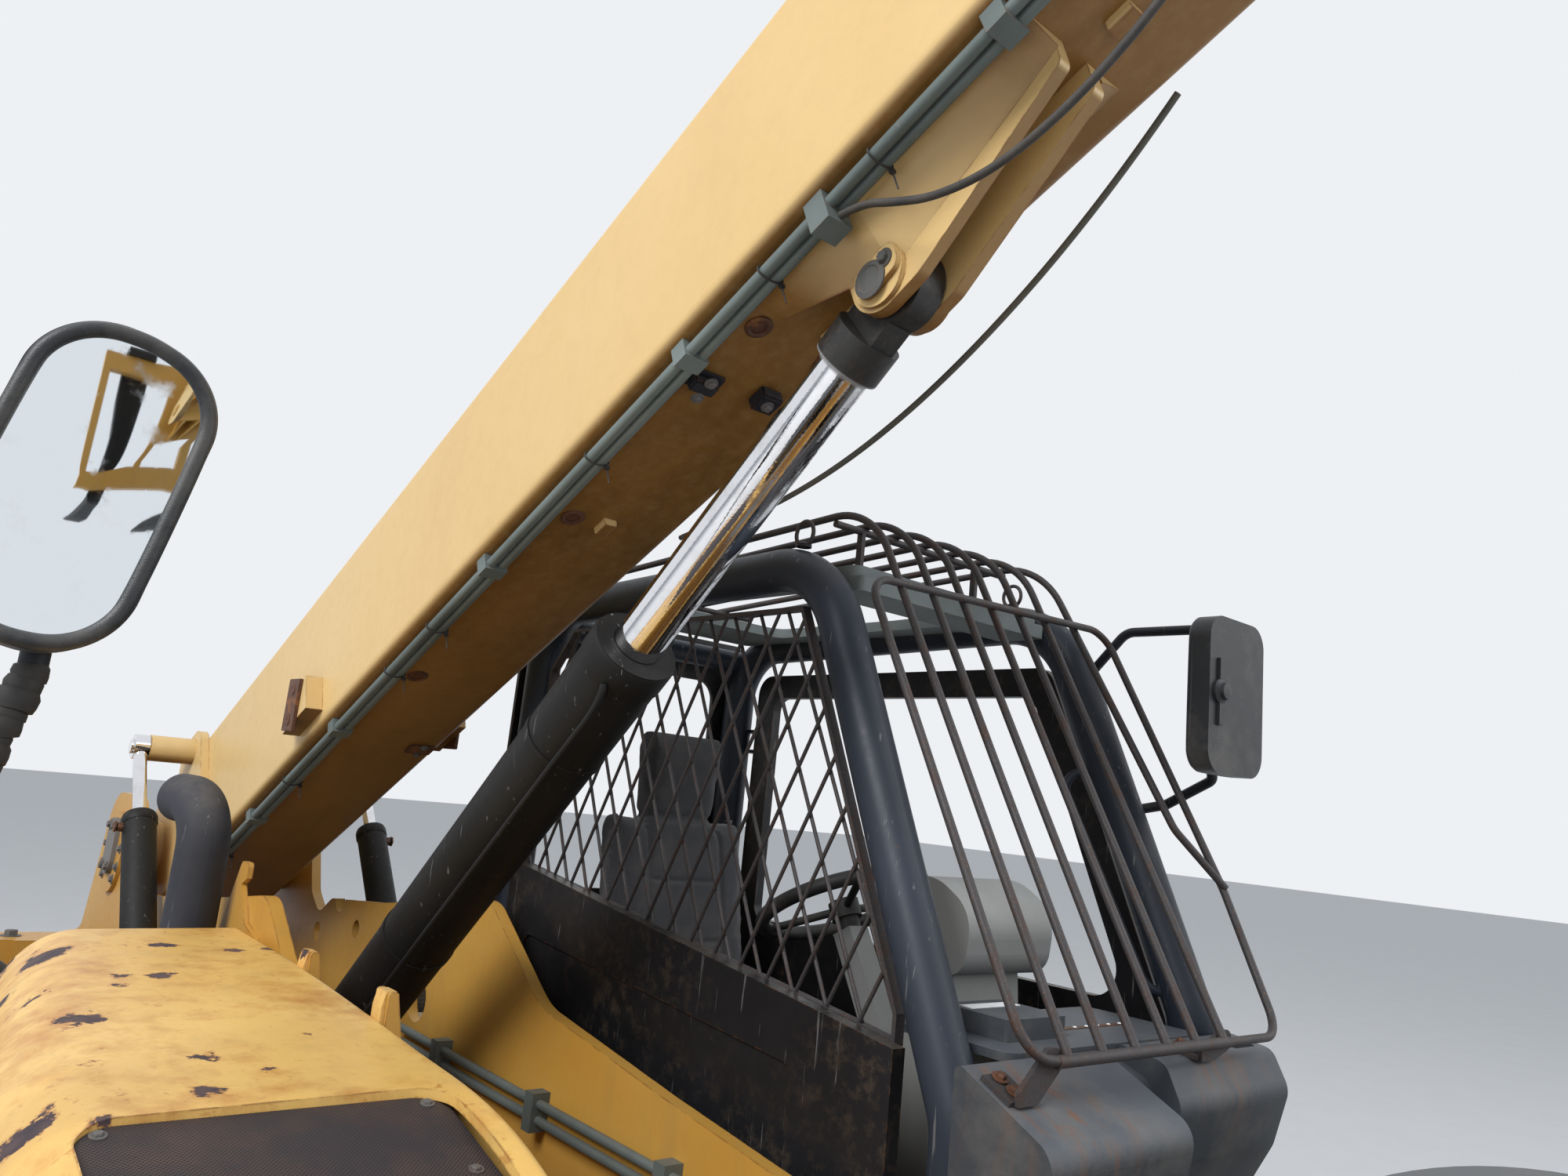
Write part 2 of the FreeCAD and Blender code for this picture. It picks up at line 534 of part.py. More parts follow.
def make_boom_mid():
    piece = boom_section("boom_mid", d.mid_width, d.mid_height, d.mid_wall, "sizes.mid_start", "sizes.mid_end", 18)
    thick = d.outer_width / 2 - d.outer_wall - 0.6
    rise = d.outer_height / 2 - d.outer_wall - 0.6
    piece.add("YZ", "sizes.mid_start", "sizes.mid_start + 120",
              rounded([(-thick, -120), (-d.mid_width / 2, -120), (-d.mid_width / 2, 120), (-thick, 120)]))
    piece.add("YZ", "sizes.mid_start", "sizes.mid_start + 120",
              rounded([(thick, -120), (d.mid_width / 2, -120), (d.mid_width / 2, 120), (thick, 120)]))
    piece.add("YZ", "sizes.mid_start", "sizes.mid_start + 120", box(-100, 100, d.mid_height / 2, rise))
    piece.done(pivot.x, 0, pivot.z, boom_turn)


def make_boom_fly():
    piece = boom_section("boom_fly", d.fly_width, d.fly_height, d.fly_wall, "sizes.fly_start", "sizes.fly_end", 16)
    half = d.fly_height / 2
    thick = d.mid_width / 2 - d.mid_wall - 0.6
    rise = d.mid_height / 2 - d.mid_wall - 0.6
    for low, high in ((-thick, -d.fly_width / 2), (d.fly_width / 2, thick)):
        piece.add("YZ", "sizes.fly_start", "sizes.fly_start + 120", box(low, high, -100, 100))
    piece.add("YZ", "sizes.fly_start", "sizes.fly_start + 120", box(-85, 85, half, rise))
    end = d.fly_end
    ear = piece.add("XZ", "sizes.tilt_pin + 12", "sizes.tilt_pin + 30",
                    rounded([(d.tilt_foot_along - 60, half - 4), (d.tilt_foot_along - 42, d.tilt_foot_up - 45, 40),
                             (d.tilt_foot_along + 42, d.tilt_foot_up - 45, 40), (d.tilt_foot_along + 60, half - 4)]))
    piece.mirrored([ear], "XZ")
    piece.cut("XY", str(-half - 5), str(-half + 40), box(end - 110, end + 5, -75, 75))
    piece.cut("XZ", "-60", "60", circle(d.tilt_foot_along, d.tilt_foot_up, d.tilt_pin + d.pin_gap))
    piece.done(pivot.x, 0, pivot.z, boom_turn)


def make_boom_head():
    """Two side plates over the end of the fly section, down to the fork carriage's pivot."""
    piece = Piece("boom_head")
    half = d.fly_height / 2
    end = d.fly_end
    seat = "sizes.fly_width / 2 + sizes.bearing_gap"
    pin_x = d.head_reach
    pin_z = -d.head_drop
    rear = d.mid_end + 20
    outline = [(rear, half - 20), (rear, half + 30, 40), (end + 40, half + 30, 120),
               (end + 230, -60, 200), (pin_x + 70, pin_z + 330, 200), (pin_x + 105, pin_z - 60, 90),
               (pin_x + 20, pin_z - 105, 90), (pin_x - 105, pin_z - 60, 90), (pin_x - 190, pin_z + 330, 200),
               (end + 10, -half - 30, 120), (rear, -half - 30, 40), (rear, -half + 20)]
    plate = piece.add("XZ", seat, f"{seat} + sizes.head_plate", rounded(outline),
                      circle(pin_x, pin_z, d.head_pin + d.pin_gap))
    boss = piece.add("XZ", "sizes.head_half", seat, circle(pin_x, pin_z, 75),
                     circle(pin_x, pin_z, d.head_pin + d.pin_gap))
    cap = piece.add("XY", str(half + d.bearing_gap), str(half + 25),
                    box(rear + 10, end + 20, 0, d.fly_width / 2 + d.bearing_gap + 2))
    brace = piece.add("XZ", "0", seat, rounded([(end + 20, half), (end + 50, half), (end + 120, 60, 60), (end + 205, -55),
                                                (end + 180, -75), (end + 95, 45, 60), (end + 45, half - 25),
                                                (end + 20, half - 25)]))
    piece.mirrored([plate, boss, cap, brace], "XZ")
    piece.done(pivot.x, 0, pivot.z, boom_turn)


def cylinder_barrel(label, radius, rod, length, eye, half, gland=40):
    """A closed tube along X with a foot boss at the origin and an open gland for its rod."""
    piece = Piece(label)
    neck = eye + 20
    piece.add("XZ", str(-half), str(half), circle(0, 0, eye))
    piece.add("YZ", str(eye - 12), str(neck + 10), circle(0, 0, eye * 0.75))
    piece.add("YZ", str(neck), str(length), circle(0, 0, radius))
    piece.cut("YZ", str(neck + 20), str(length - gland), circle(0, 0, radius * BORE_SHARE))
    piece.cut("YZ", str(length - gland - 1), str(length), circle(0, 0, rod + d.bearing_gap))
    return piece


def cylinder_rod(label, radius, bore, inside, eye, half, tang=0, collar=60, piston=40):
    """A rod along X that ends in a boss at the origin, with a flat tang as wide, and reaches into its barrel."""
    piece = Piece(label)
    neck = eye + tang
    piece.add("XZ", str(-half), str(half), circle(0, 0, eye))
    piece.add("XZ", str(-half), str(half), box(-neck - 5, -eye + 20, -eye * 0.75, eye * 0.75))
    piece.add("YZ", str(-neck - collar), str(-neck), circle(0, 0, radius * 1.22))
    piece.add("YZ", str(-inside), str(-neck - collar + 10), circle(0, 0, radius))
    piece.add("YZ", str(-inside - piston), str(-inside + 5), circle(0, 0, bore - 0.4))
    return piece


def make_lift_cylinder():
    gap = (lift_eye - lift_foot).Length
    turn = pointing(lift_foot, lift_eye)
    barrel = cylinder_barrel("lift_barrel", d.lift_barrel_radius, d.lift_rod_radius, d.lift_barrel_length,
                             d.lift_eye_radius + 10, d.lift_foot_half)
    barrel.done(lift_foot.x, 0, lift_foot.z, turn)
    inside = gap - d.lift_barrel_length + 1000
    rod = cylinder_rod("lift_rod", d.lift_rod_radius, d.lift_barrel_radius * BORE_SHARE, inside, d.lift_eye_radius,
                       d.lift_eye_half, 26)
    rod.cut("XZ", "-sizes.lift_eye_half", "sizes.lift_eye_half", circle(0, 0, d.lift_pin + d.pin_gap))
    rod.done(lift_eye.x, 0, lift_eye.z, turn)


def make_level_cylinders():
    gap = (level_eye - level_foot).Length
    turn = pointing(level_foot, level_eye)
    for name, is_barrel in (("level_barrels", True), ("level_rods", False)):
        shapes = []
        for side in (-1, 1):
            middle = side * d.level_side
            if is_barrel:
                eye = Part.makeCylinder(d.level_eye_radius, 2 * d.level_eye_half, V(0, middle - d.level_eye_half, 0),
                                        V(0, 1, 0))
                hole = Part.makeCylinder(d.level_pin + d.pin_gap, 2 * d.level_eye_half,
                                         V(0, middle - d.level_eye_half, 0), V(0, 1, 0))
                start = d.level_eye_radius + 10
                neck = Part.makeCylinder(d.level_eye_radius * 0.7, 30, V(start - 18, middle, 0), V(1, 0, 0))
                drum = Part.makeCylinder(d.level_barrel_radius, d.level_barrel_length - start, V(start, middle, 0),
                                         V(1, 0, 0))
                bore = Part.makeCylinder(d.level_rod_radius + d.bearing_gap, d.level_barrel_length - start - 20,
                                         V(start + 20, middle, 0), V(1, 0, 0))
                ports = [Part.makeCylinder(12, d.level_barrel_radius + 18, V(place, middle, 0), V(0, side, 0))
                         for place in (start + 60, d.level_barrel_length - 40)]
                shapes.append(joined([eye, neck, drum, *ports]).cut(hole).cut(bore))
            else:
                eye = Part.makeCylinder(d.level_eye_radius, 2 * d.level_eye_half,
                                        V(gap, middle - d.level_eye_half, 0), V(0, 1, 0))
                start = d.level_barrel_length - d.level_rod_inside
                pin_end = Part.makeCylinder(d.level_pin, d.level_eye_half + 8, V(gap, middle, 0), V(0, side, 0))
                shaft = Part.makeCylinder(d.level_rod_radius, gap - start - 20, V(start, middle, 0), V(1, 0, 0))
                shapes.append(joined([eye, pin_end, shaft]))
        shaped(name, Part.makeCompound(shapes), level_foot.x, 0, level_foot.z, turn)


def make_tilt_cylinder():
    gap = (tilt_eye - tilt_foot).Length
    turn = pointing(tilt_foot, tilt_eye)
    piece = cylinder_barrel("tilt_barrel", d.tilt_barrel_radius, d.tilt_rod_radius, d.tilt_barrel_length, 40,
                            d.tilt_eye_half, 30)
    piece.add("XZ", "-sizes.tilt_pin - 38", "sizes.tilt_pin + 38", circle(0, 0, d.tilt_pin))
    piece.done(tilt_foot.x, 0, tilt_foot.z, turn)
    rod = cylinder_rod("tilt_rod", d.tilt_rod_radius, d.tilt_barrel_radius * BORE_SHARE,
                       gap - d.tilt_barrel_length + d.tilt_rod_inside, 38, d.tilt_eye_half, 0, 12, 25)
    rod.done(tilt_eye.x, 0, tilt_eye.z, turn)


def make_carriage():
    """Pivot plates, ears and the fork frame, level at rest, drawn about the pivot."""
    piece = Piece("carriage")
    face = d.carriage_ahead
    bar = d.carriage_bar
    pin = piece.add("XZ", "0", "sizes.fly_width / 2 + sizes.head_plate + 9", circle(0, 0, d.head_pin))
    hub = piece.add("XZ", "0", "sizes.head_half - 1", circle(0, 0, 70))
    lug = piece.add("XZ", "sizes.tilt_pin + 16", "sizes.tilt_pin + 40",
                    rounded([(-70, 0, 60), (-d.tilt_ear_back - 45, d.tilt_ear_up + 45, 44),
                             (-d.tilt_ear_back + 45, d.tilt_ear_up + 45, 44), (face, 200), (face, -200), (0, -75, 60)]))
    keeper = piece.add("XZ", "sizes.tilt_pin + 40", "sizes.tilt_pin + 52",
                       circle(-d.tilt_ear_back, d.tilt_ear_up, 34))
    uprights = [piece.add("XZ", f"{y}", f"{y} + 50", box(face, face + 40, -d.carriage_low, d.carriage_high, 6))
                for y in (150, d.carriage_half - 50)]
    bars = [piece.add("YZ", str(face), str(face + bar), box(0, d.carriage_half, low, low + 90, 10))
            for low in (d.carriage_high - 90, -d.carriage_low)]
    middle = piece.add("YZ", str(face), str(face + 30), box(0, 200, -200, 210))
    tilt_pin = piece.add("XZ", "sizes.tilt_eye_half + sizes.open_pin_gap", "sizes.tilt_pin + 40",
                         circle(-d.tilt_ear_back, d.tilt_ear_up, d.tilt_pin))
    piece.mirrored([pin, hub, lug, keeper, tilt_pin, *uprights, *bars, middle], "XZ")
    piece.done(head_pivot.x, 0, head_pivot.z)


def make_forks():
    piece = Piece("forks")
    face = d.carriage_ahead + d.carriage_bar
    top = d.carriage_high + 40
    low = -d.carriage_low - d.fork_thick
    tip = face + d.fork_thick + d.fork_length
    outline = [(face, top), (face + d.fork_thick, top), (face + d.fork_thick, low + d.fork_thick, 30),
               (tip, low + d.fork_thick), (tip, low + d.fork_thick - 12), (tip - 500, low), (face, low, 60)]
    near = piece.add("XZ", "sizes.fork_spread - sizes.fork_width / 2", "sizes.fork_spread + sizes.fork_width / 2",
                     rounded(outline))
    hook = piece.add("XZ", "sizes.fork_spread - sizes.fork_width / 2", "sizes.fork_spread + sizes.fork_width / 2",
                     rounded([(face + 10, d.carriage_high + 0.3), (face + 10, top), (face - 80, top),
                              (face - 80, d.carriage_high + 0.3)]))
    piece.mirrored([near, hook], "XZ")
    piece.done(head_pivot.x, 0, head_pivot.z)


# Engine side

def hood_section(outer, top, bottom, inset=0):
    """A section across the hood: flat top, large outer shoulder; inset moves it inwards."""
    inner = -d.pod_inner - inset
    edge = -outer + inset
    crown = top - inset
    return rounded([(inner, bottom), (inner, crown, 20), (edge + 110, crown - 4, 130 - inset), (edge, crown - 190, 120),
                    (edge, bottom)])


def make_hood():
    piece = Piece("engine_hood")
    low = d.pod_top + 4
    stations = [("sizes.pod_rear", d.hood_outer - 130, 1553, 0), ("1900", d.hood_outer - 70, 1545, 0),
                ("2450", d.hood_outer, 1520, 0), ("2780", d.hood_outer, 1495, 0),
                ("sizes.hood_front", d.hood_outer - 40, 1400, 60)]
    piece.loft([(x, hood_section(outer, top, low + lift)) for x, outer, top, lift in stations])
    wall = d.hood_wall
    inside = [(f"{x} + ({shift_})", hood_section(outer, top, low + lift - 30, wall))
              for (x, outer, top, lift), shift_ in zip(stations, (wall, 0, 0, 0, -wall))]
    piece.loft(inside, remove=True)
    piece.cut("XY", "1380", "1560", box(d.grille_rear, d.grille_front, -d.grille_outer, -d.grille_inner, 50))
    for x in (1850, 2250):
        piece.add("YZ", f"{x}", f"{x} + 40",
                  rounded([(-304, 1500), (-300, 1500), (-281, 1555), (-281, 1571, 8), (-299, 1571, 8), (-304, 1545)]))
        piece.cut("YZ", f"{x}", f"{x} + 40", circle(-290, d.hood_hinge, 5.4))
    piece.done()


def make_grille():
    piece = Piece("hood_grille")
    drop = 82
    slope = math.degrees(math.atan2(drop, d.grille_front - d.grille_rear))
    length = math.hypot(drop, d.grille_front - d.grille_rear) - 2
    outline = box(1, length, -d.grille_outer + 0.3, -d.grille_inner - 0.3, 50)
    piece.add("XY", "0", "5", outline)
    bars = [piece.add("XY", "-16", "0", box(place, place + 6, -d.grille_outer + 40, -d.grille_inner - 40))
            for place in (80, 180)]
    piece.done(d.grille_rear, 0, 1494, FreeCAD.Rotation(V(0, 1, 0), slope))
    return bars


def make_pod():
    piece = Piece("engine_pod")
    wall = d.pod_wall
    piece.add("XY", "sizes.pod_bottom", "sizes.pod_top",
              rounded([(d.pod_rear, -d.pod_inner), (d.pod_rear, -d.pod_outer, 120), (d.pod_front, -d.pod_outer, 120),
                       (d.pod_front, -d.pod_inner)]))
    piece.cut("XY", "sizes.pod_bottom + sizes.pod_wall", "sizes.pod_top",
              box(d.pod_rear + wall, d.pod_front - wall, -d.hood_outer + wall, -d.pod_inner - wall))
    piece.cut("XY", "sizes.side_box_top", "sizes.pod_top",
              box(d.pod_rear - 10, d.pod_front + 10, -d.pod_outer - 10, -d.hood_outer))
    piece.add("XY", "sizes.pod_bottom + 300", "sizes.pod_top - 60", box(1190, d.pod_rear, -620, -d.pod_inner, 30))
    piece.add("XZ", "-sizes.pod_inner - 1", "-sizes.rail_inner - sizes.rail_plate - 0.3", box(1500, 2800, 640, 780, 10))
    piece.done()
    block = doc.addObject("Part::Box", "engine_block")
    block.Label = "engine_block"
    block.Length = 1050
    block.Width = 480
    block.Height = 620
    placed(block, 1600, -d.hood_outer + wall + 40, d.pod_bottom + wall + 0.3)


def make_exhaust():
    outer = d.exhaust_radius
    path = [(1289, -372, d.pod_top - 59), (1287, -374, 1812), (1120, -400, 1815)]
    pipe = tube(path, outer, 112)
    bore = tube(path, outer - d.exhaust_wall, 112)
    shaped("exhaust", pipe.cut(bore))


def make_tanks():
    piece = Piece("hydraulic_tank")
    piece.add("XY", "560", "1240", box(930, 1285, 285.3, 1130, 40))
    piece.add("XY", "1240", "1275", circle(1080, 900, 55))
    piece.done()
    piece = Piece("cab_base")
    piece.add("XY", "sizes.base_bottom", "sizes.cab_floor - 24.3", box(d.cab_rear + 10, 2840, 285.3, d.cab_outer - 10, 40))
    piece.cut("XY", "760", "sizes.cab_floor - 25", box(1750, 2350, 930, d.cab_outer + 10))
    piece.cut("XY", "600", "730", box(1750, 2350, 980, d.cab_outer + 10))
    piece.done()


def make_frame_pipes():
    shapes = []
    for height in (1255, 1222):
        shapes.append(tube([(1150, 232, height), (2500, 232, height), (3050, 232, height - 160)], 10, 80))
    for place in (1400, 1900, 2400):
        shapes.append(Part.makeBox(36, 42, 80, V(place, 212.7, 1198)))
    shaped("frame_pipes", joined(shapes))


# Cab

def make_cab():
    tube_radius = d.cab_tube
    low = d.cab_floor
    inner = d.cab_inner + tube_radius
    outer = d.cab_outer - tube_radius
    roof = d.roof_height
    foot = d.pillar_foot
    runs = []
    for z in (1150, 2100):
        runs.append(Part.makeCylinder(8, 72, V(1432, 1162, z - 11)))
        for shelf in (z - 11, z + 51):
            runs.append(Part.makeBox(68, 60, 10, V(1380, 1114, shelf)))
    for y, knee in ((inner, 1468), (outer, 1600)):
        reach = (roof + 10 - knee) * math.tan(math.radians(d.pillar_lean))
        runs.append(tube([(foot, y, 1300), (foot, y, knee, 120), (foot - reach, y, roof + 10, 220),
                          (d.cab_rear + 60, y, roof - 20), (d.cab_rear + 60, y, low + 30)], tube_radius, 170))
    for x, z in ((d.cab_rear + 75, roof - 60), (foot - 20, 1400)):
        runs.append(tube([(x, inner, z), (x, outer, z)], tube_radius * 0.7))
    runs.append(tube([(2750, outer, 2115), (2655, outer - 58, 2060), (2890, outer - 58, 1646), (2930, outer, 1640)],
                     10, 40))
    shaped("cab_frame", joined(runs))

    floor = Piece("cab_floor")
    floor.add("XY", "sizes.cab_floor - 24", "sizes.cab_floor", box(d.cab_rear, d.cab_front + 20, d.cab_inner, d.cab_outer - 45, 20))
    floor.done()

    side = Piece("cab_side_panel")
    side.add("XZ", "sizes.cab_inner", "sizes.cab_inner + sizes.cab_panel",
             rounded([(d.cab_rear + 125, low + 0.3), (d.cab_rear + 125, d.sill_rear), (2700, d.sill_front), (2848, 1563),
                      (2848, 1200, 60), (2700, low + 0.3)]))
    side.cut("XZ", "sizes.cab_inner", "sizes.cab_inner + 6",
             rounded([(1550, 1050, 30), (1550, 1560, 30), (2600, 1480, 30), (2600, 1050, 30)]))
    side.done()

    rear = Piece("cab_rear_panel")
    rear.add("YZ", "sizes.cab_rear", "sizes.cab_rear + 12.7",
             box(d.cab_inner, d.cab_outer - 10, low + 0.3, roof, 40), box(d.cab_inner + 110, d.cab_outer - 120, 1650, roof - 130, 60))
    rear.done()

    roof_plate = Piece("cab_roof")
    roof_plate.add("XY", "sizes.roof_height - 12", "sizes.roof_height + 14",
                   box(d.cab_rear + 130, 2560, inner + 47.3, outer - 47.3, 20),
                   box(d.cab_rear + 380, 2350, inner + 130, outer - 130, 40))
    roof_plate.add("XY", "sizes.roof_height - 42", "sizes.roof_height - 10",
                   box(2450, 2580, inner + 47.3, outer - 47.3, 12))
    roof_plate.done()

    cowl = Piece("cab_cowl")
    back = d.pillar_foot + tube_radius + 0.3
    lobes = [("320", "700", [(back, 1310), (back, 1585, 12), (3200, 1495, 45), (3185, 1400, 60), (3110, 1310, 20)]),
             ("700", "760", [(back, 1310), (back, 1560), (3085, 1535, 40), (3070, 1310, 20)]),
             ("760", "1145", [(back, 1310), (back, 1585, 12), (3105, 1572, 30), (3140, 1505, 45), (3110, 1400, 60),
                              (3060, 1310, 20)])]
    for low_side, high_side, outline in lobes:
        cowl.add("XZ", low_side, high_side, rounded(outline))
    cowl.cut("XY", "1500", "1600", box(3040, 3085, 1040, 1120, 8))
    cowl.add("XY", "1571", "1585", box(2745, back + 5, inner + 52, outer - 52, 30))
    cowl.add("XY", "1585", "1622", box(2800, 2950, 520, 690, 8))
    cowl.done()

    dash = Piece("dash")
    dash.add("XZ", "610", "870", rounded([(2560, 1655, 40), (2550, 1780, 90), (2660, 1852, 110), (2785, 1780, 80),
                                           (2770, 1655, 50)]))
    dash.add("XZ", "640", "840", rounded([(2575, 1500), (2590, 1670), (2720, 1670), (2735, 1500)]))
    dash.add("XY", "sizes.cab_floor + 0.3", "1520", box(2560, 2720, 640, 840, 40))
    dash.add("XZ", "712", "768", rounded([(2303.5, 1666.6), (2353, 1692.9), (2610, 1286, 10), (2565, 1240, 10)]))
    dash.done()

    base = Piece("seat_base")
    base.add("XY", "sizes.cab_floor + 0.3", "1280", box(1640, 2010, 560, 920, 40))
    base.done()

    cushion = Piece("seat_cushion")
    cushion.add("XZ", "510", "970", rounded([(1610, 1281, 20), (2050, 1281, 50), (2060, 1405, 50), (1760, 1385, 60),
                                              (1610, 1360, 20)]))
    cushion.done()

    back = Piece("seat_back")
    back.add("XZ", "520", "960", rounded([(1602, 1365.5, 10), (1745, 1389, 30), (1700, 1640, 150), (1640, 1885, 55),
                                           (1525, 1885, 55), (1570, 1600, 150)]))
    back.add("XZ", "620", "860", rounded([(1545, 1850, 10), (1630, 1850, 10), (1655, 2128, 45), (1545, 2128, 45)]))
    back.done()

    wheel = Part.makeTorus(190, 16)
    hub = Part.makeCylinder(35, 40, V(0, 0, -34))
    spokes = [Part.makeCylinder(9, 178, V(0, 0, -12), V(math.cos(a), math.sin(a), 0.06))
              for a in (math.radians(90), math.radians(210), math.radians(330))]
    column = Part.makeCylinder(26, 40, V(0, 0, -60))
    shaped("steering_wheel", joined([wheel, hub, *spokes, column]), 2300, 740, 1733,
           FreeCAD.Rotation(V(0, 1, 0), -28))


def make_guard():
    """Rods over the roof that bend down to a bar on the cowl, and one rod looped round the windscreen."""
    rod = d.guard_rod
    foot_x = d.guard_foot_x
    foot_z = d.guard_foot_z
    shapes = []
    for index in range(int(d.guard_count) - 1):
        y = d.guard_first + index * d.guard_pitch
        shapes.append(tube([(1420, y, 2500), (2590, y, 2562), (foot_x, y, foot_z)], rod, 180))
    far = d.guard_first + (d.guard_count - 1) * d.guard_pitch
    shapes.append(tube([(1420, far, 2500), (2590, far, 2562, 180), (2922, far + 65, 1972, 50), (2990, far + 155, 1862)],
                       rod))
    shapes.append(tube([(foot_x, 920, foot_z), (foot_x, 1125, foot_z, 60), (2985, 1168, 1859, 200),
                        (2694, 1130, 2412, 60), (2694, 350, 2388, 60), (foot_x, 340, foot_z + 10, 60),
                        (foot_x, 430, foot_z)], rod))
    shapes.append(tube([(foot_x, 414, foot_z), (foot_x, 930, foot_z)], rod + 2))
    for x, z in ((2480, 2541), (1500, 2490)):
        shapes.append(tube([(x, d.guard_first, z), (x, far, z)], rod))
        for y in (520, 900):
            shapes.append(Part.makeBox(16, 10, z - 2444.3, V(x - 8, y, 2444.3)))
    for y, seat, fall, low in ((330, 1565.5, 25.03, 1540), (850, 1579.7, 7.6, 1570)):
        flange = Part.makeBox(62, 56, 8)
        flange.Placement = FreeCAD.Placement(V(3050, y, seat), FreeCAD.Rotation(V(0, 1, 0), fall))
        outline = rounded([(y + 10, low), (y + 56, low), (y + 112, foot_z - 14, 18), (y + 112, foot_z + 18, 16),
                           (y + 78, foot_z + 18, 16), (y + 10, low + 20)])
        plate = Part.Face(Part.Wire([edge.toShape() for edge in outline]))
        plate.Placement = FreeCAD.Placement(V(3108, 0, 0), FreeCAD.Rotation(V(1, 1, 1), 120))
        shapes += [flange, plate.extrude(V(9, 0, 0))]
    shaped("cab_guard", joined(shapes))


def make_mesh():
    """Crossed rods in a thin edge strip inside the right window."""
    plane = d.cab_inner + d.cab_panel + 0.3
    corners = [(1440, d.sill_rear - 14), (1440, 2240), (1540, 2350), (2475, 2350), (2822, 1612), (2822, 1559),
               (2700, d.sill_front - 8)]
    wire = Part.Wire(Part.makePolygon([V(x, 0, z) for x, z in corners] + [V(corners[0][0], 0, corners[0][1])]))
    window = Part.Face(wire)
    outer = window.extrude(V(0, 22, 0))
    inner = Part.Face(wire.makeOffset2D(-9)).extrude(V(0, 22, 0))
    if inner.Volume > outer.Volume:
        inner = Part.Face(wire.makeOffset2D(9)).extrude(V(0, 22, 0))
    strip = outer.cut(inner)
    strip.translate(V(0, plane, 0))
    clip = outer.copy()
    clip.translate(V(0, plane, 0))
    rods = []
    for lean, y in ((62, plane + 6), (118, plane + 6 + 2 * d.mesh_rod + 0.4)):
        step = V(math.cos(math.radians(lean)), 0, math.sin(math.radians(lean)))
        for index in range(-9, 18):
            foot = V(1440 + index * d.mesh_pitch, y, 1580)
            long_rod = Part.makeCylinder(d.mesh_rod, 1100, foot, step)
            piece = long_rod.common(clip)
            rods += [s for s in piece.Solids if s.Volume > 600]
    shaped("cab_side_mesh", strip.fuse(rods))


def make_door():
    piece = Piece("cab_door")
    y0 = "sizes.cab_outer - 34"
    y1 = "sizes.cab_outer - 4"
    outline = [(1450, d.cab_floor + 4), (1450, 2330, 60), (2555, 2330, 60), (2895, 1580, 60), (2895, 1250, 80),
               (2660, d.cab_floor + 4, 60)]
    window = [(1530, 1600, 40), (1530, 2260, 40), (2510, 2260, 60), (2805, 1600, 60)]
    piece.add("XZ", y0, y1, rounded(outline), rounded(window))
    piece.add("XZ", y1, "sizes.cab_outer + 20", rounded([(2560, 1420), (2560, 1450), (2640, 1450), (2640, 1420)]))
    for z in (1150, 2100):
        piece.add("XZ", y1, "sizes.cab_outer + 6", box(1440, 1520, z, z + 50))
        piece.add("XY", f"{z}", f"{z} + 50", circle(1432, 1162, 17))
        piece.cut("XY", f"{z}", f"{z} + 50", circle(1432, 1162, 8.4))
    piece.done()


def make_mirrors():
    left = Piece("mirror_left")
    left.add("YZ", "-22", "22", box(-113, 113, -165, 165, 50))
    left.done(2993, 1150, 2259)
    back = 2993 - 22 - 11.3
    arm = tube([(2642, 1161.3, 2320), (2735, 1161.3, 2415), (back, 1150, 2410), (back, 1150, 2259)], 11, 50)
    stay = tube([(back, 1150, 2259), (back, 1150, 2135), (back - 20, 1195, 2085), (2830, 1195, 2025), (2775, 1161.3, 2008)],
                11, 20)
    shaped("mirror_left_arm", arm.fuse(stay))
    right = Piece("mirror_right")
    right.add("YZ", "-24", "24", box(-108, 108, -200, 200, 95))
    right.done(2665, -931, 2234, FreeCAD.Rotation(V(1, 0, 0), -12))
    behind = 2665 - 24 - 16.3
    post = tube([(behind, -1150, d.side_box_top + 0.3), (behind, -1150, 1420), (behind, -1020, 1700),
                 (behind, -931, 2010), (behind, -931, 2234)], 16, 80)
    shaped("mirror_right_arm", post)


# Hoses and cables

def make_boom_pipes():
    shapes = []
    under = -d.outer_height / 2
    for y, depth in ((-144, 22), (-120, 22)):
        shapes.append(tube([(420, y, under - depth), (4700, y, under - depth)], 9.5))
    for place in (900, 1500, 2300, 3000, 3700, 4500):
        shapes.append(Part.makeBox(34, 49, 34.5, V(place, -157, under - 34.8)))
    shapes.append(Part.makeBox(40, 49, 57, V(3345, -157, under - 57.3)))
    shaped("boom_pipes", joined(shapes), pivot.x, 0, pivot.z, boom_turn)


CABLE_LEFT = [(2542, 186, -200), (2595, 186, -214), (2665, 186, -252), (2777, 186, -289), (2915, 186, -321),
              (3055, 186, -338), (3200, 186, -340), (3345, 186, -327), (3490, 186, -301), (3615, 186, -267),
              (3720, 186, -231), (3787, 186, -204)]
CABLE_RIGHT = [(3388.5, -132, -246), (3430, -131, -262), (3475, -128, -305), (3535, -122, -352), (3625, -113, -384),
               (3735, -104, -385), (3850, -97, -362), (3960, -93, -322), (4060, -92, -275), (4145, -94, -232),
               (4196.5, -96, -213)]


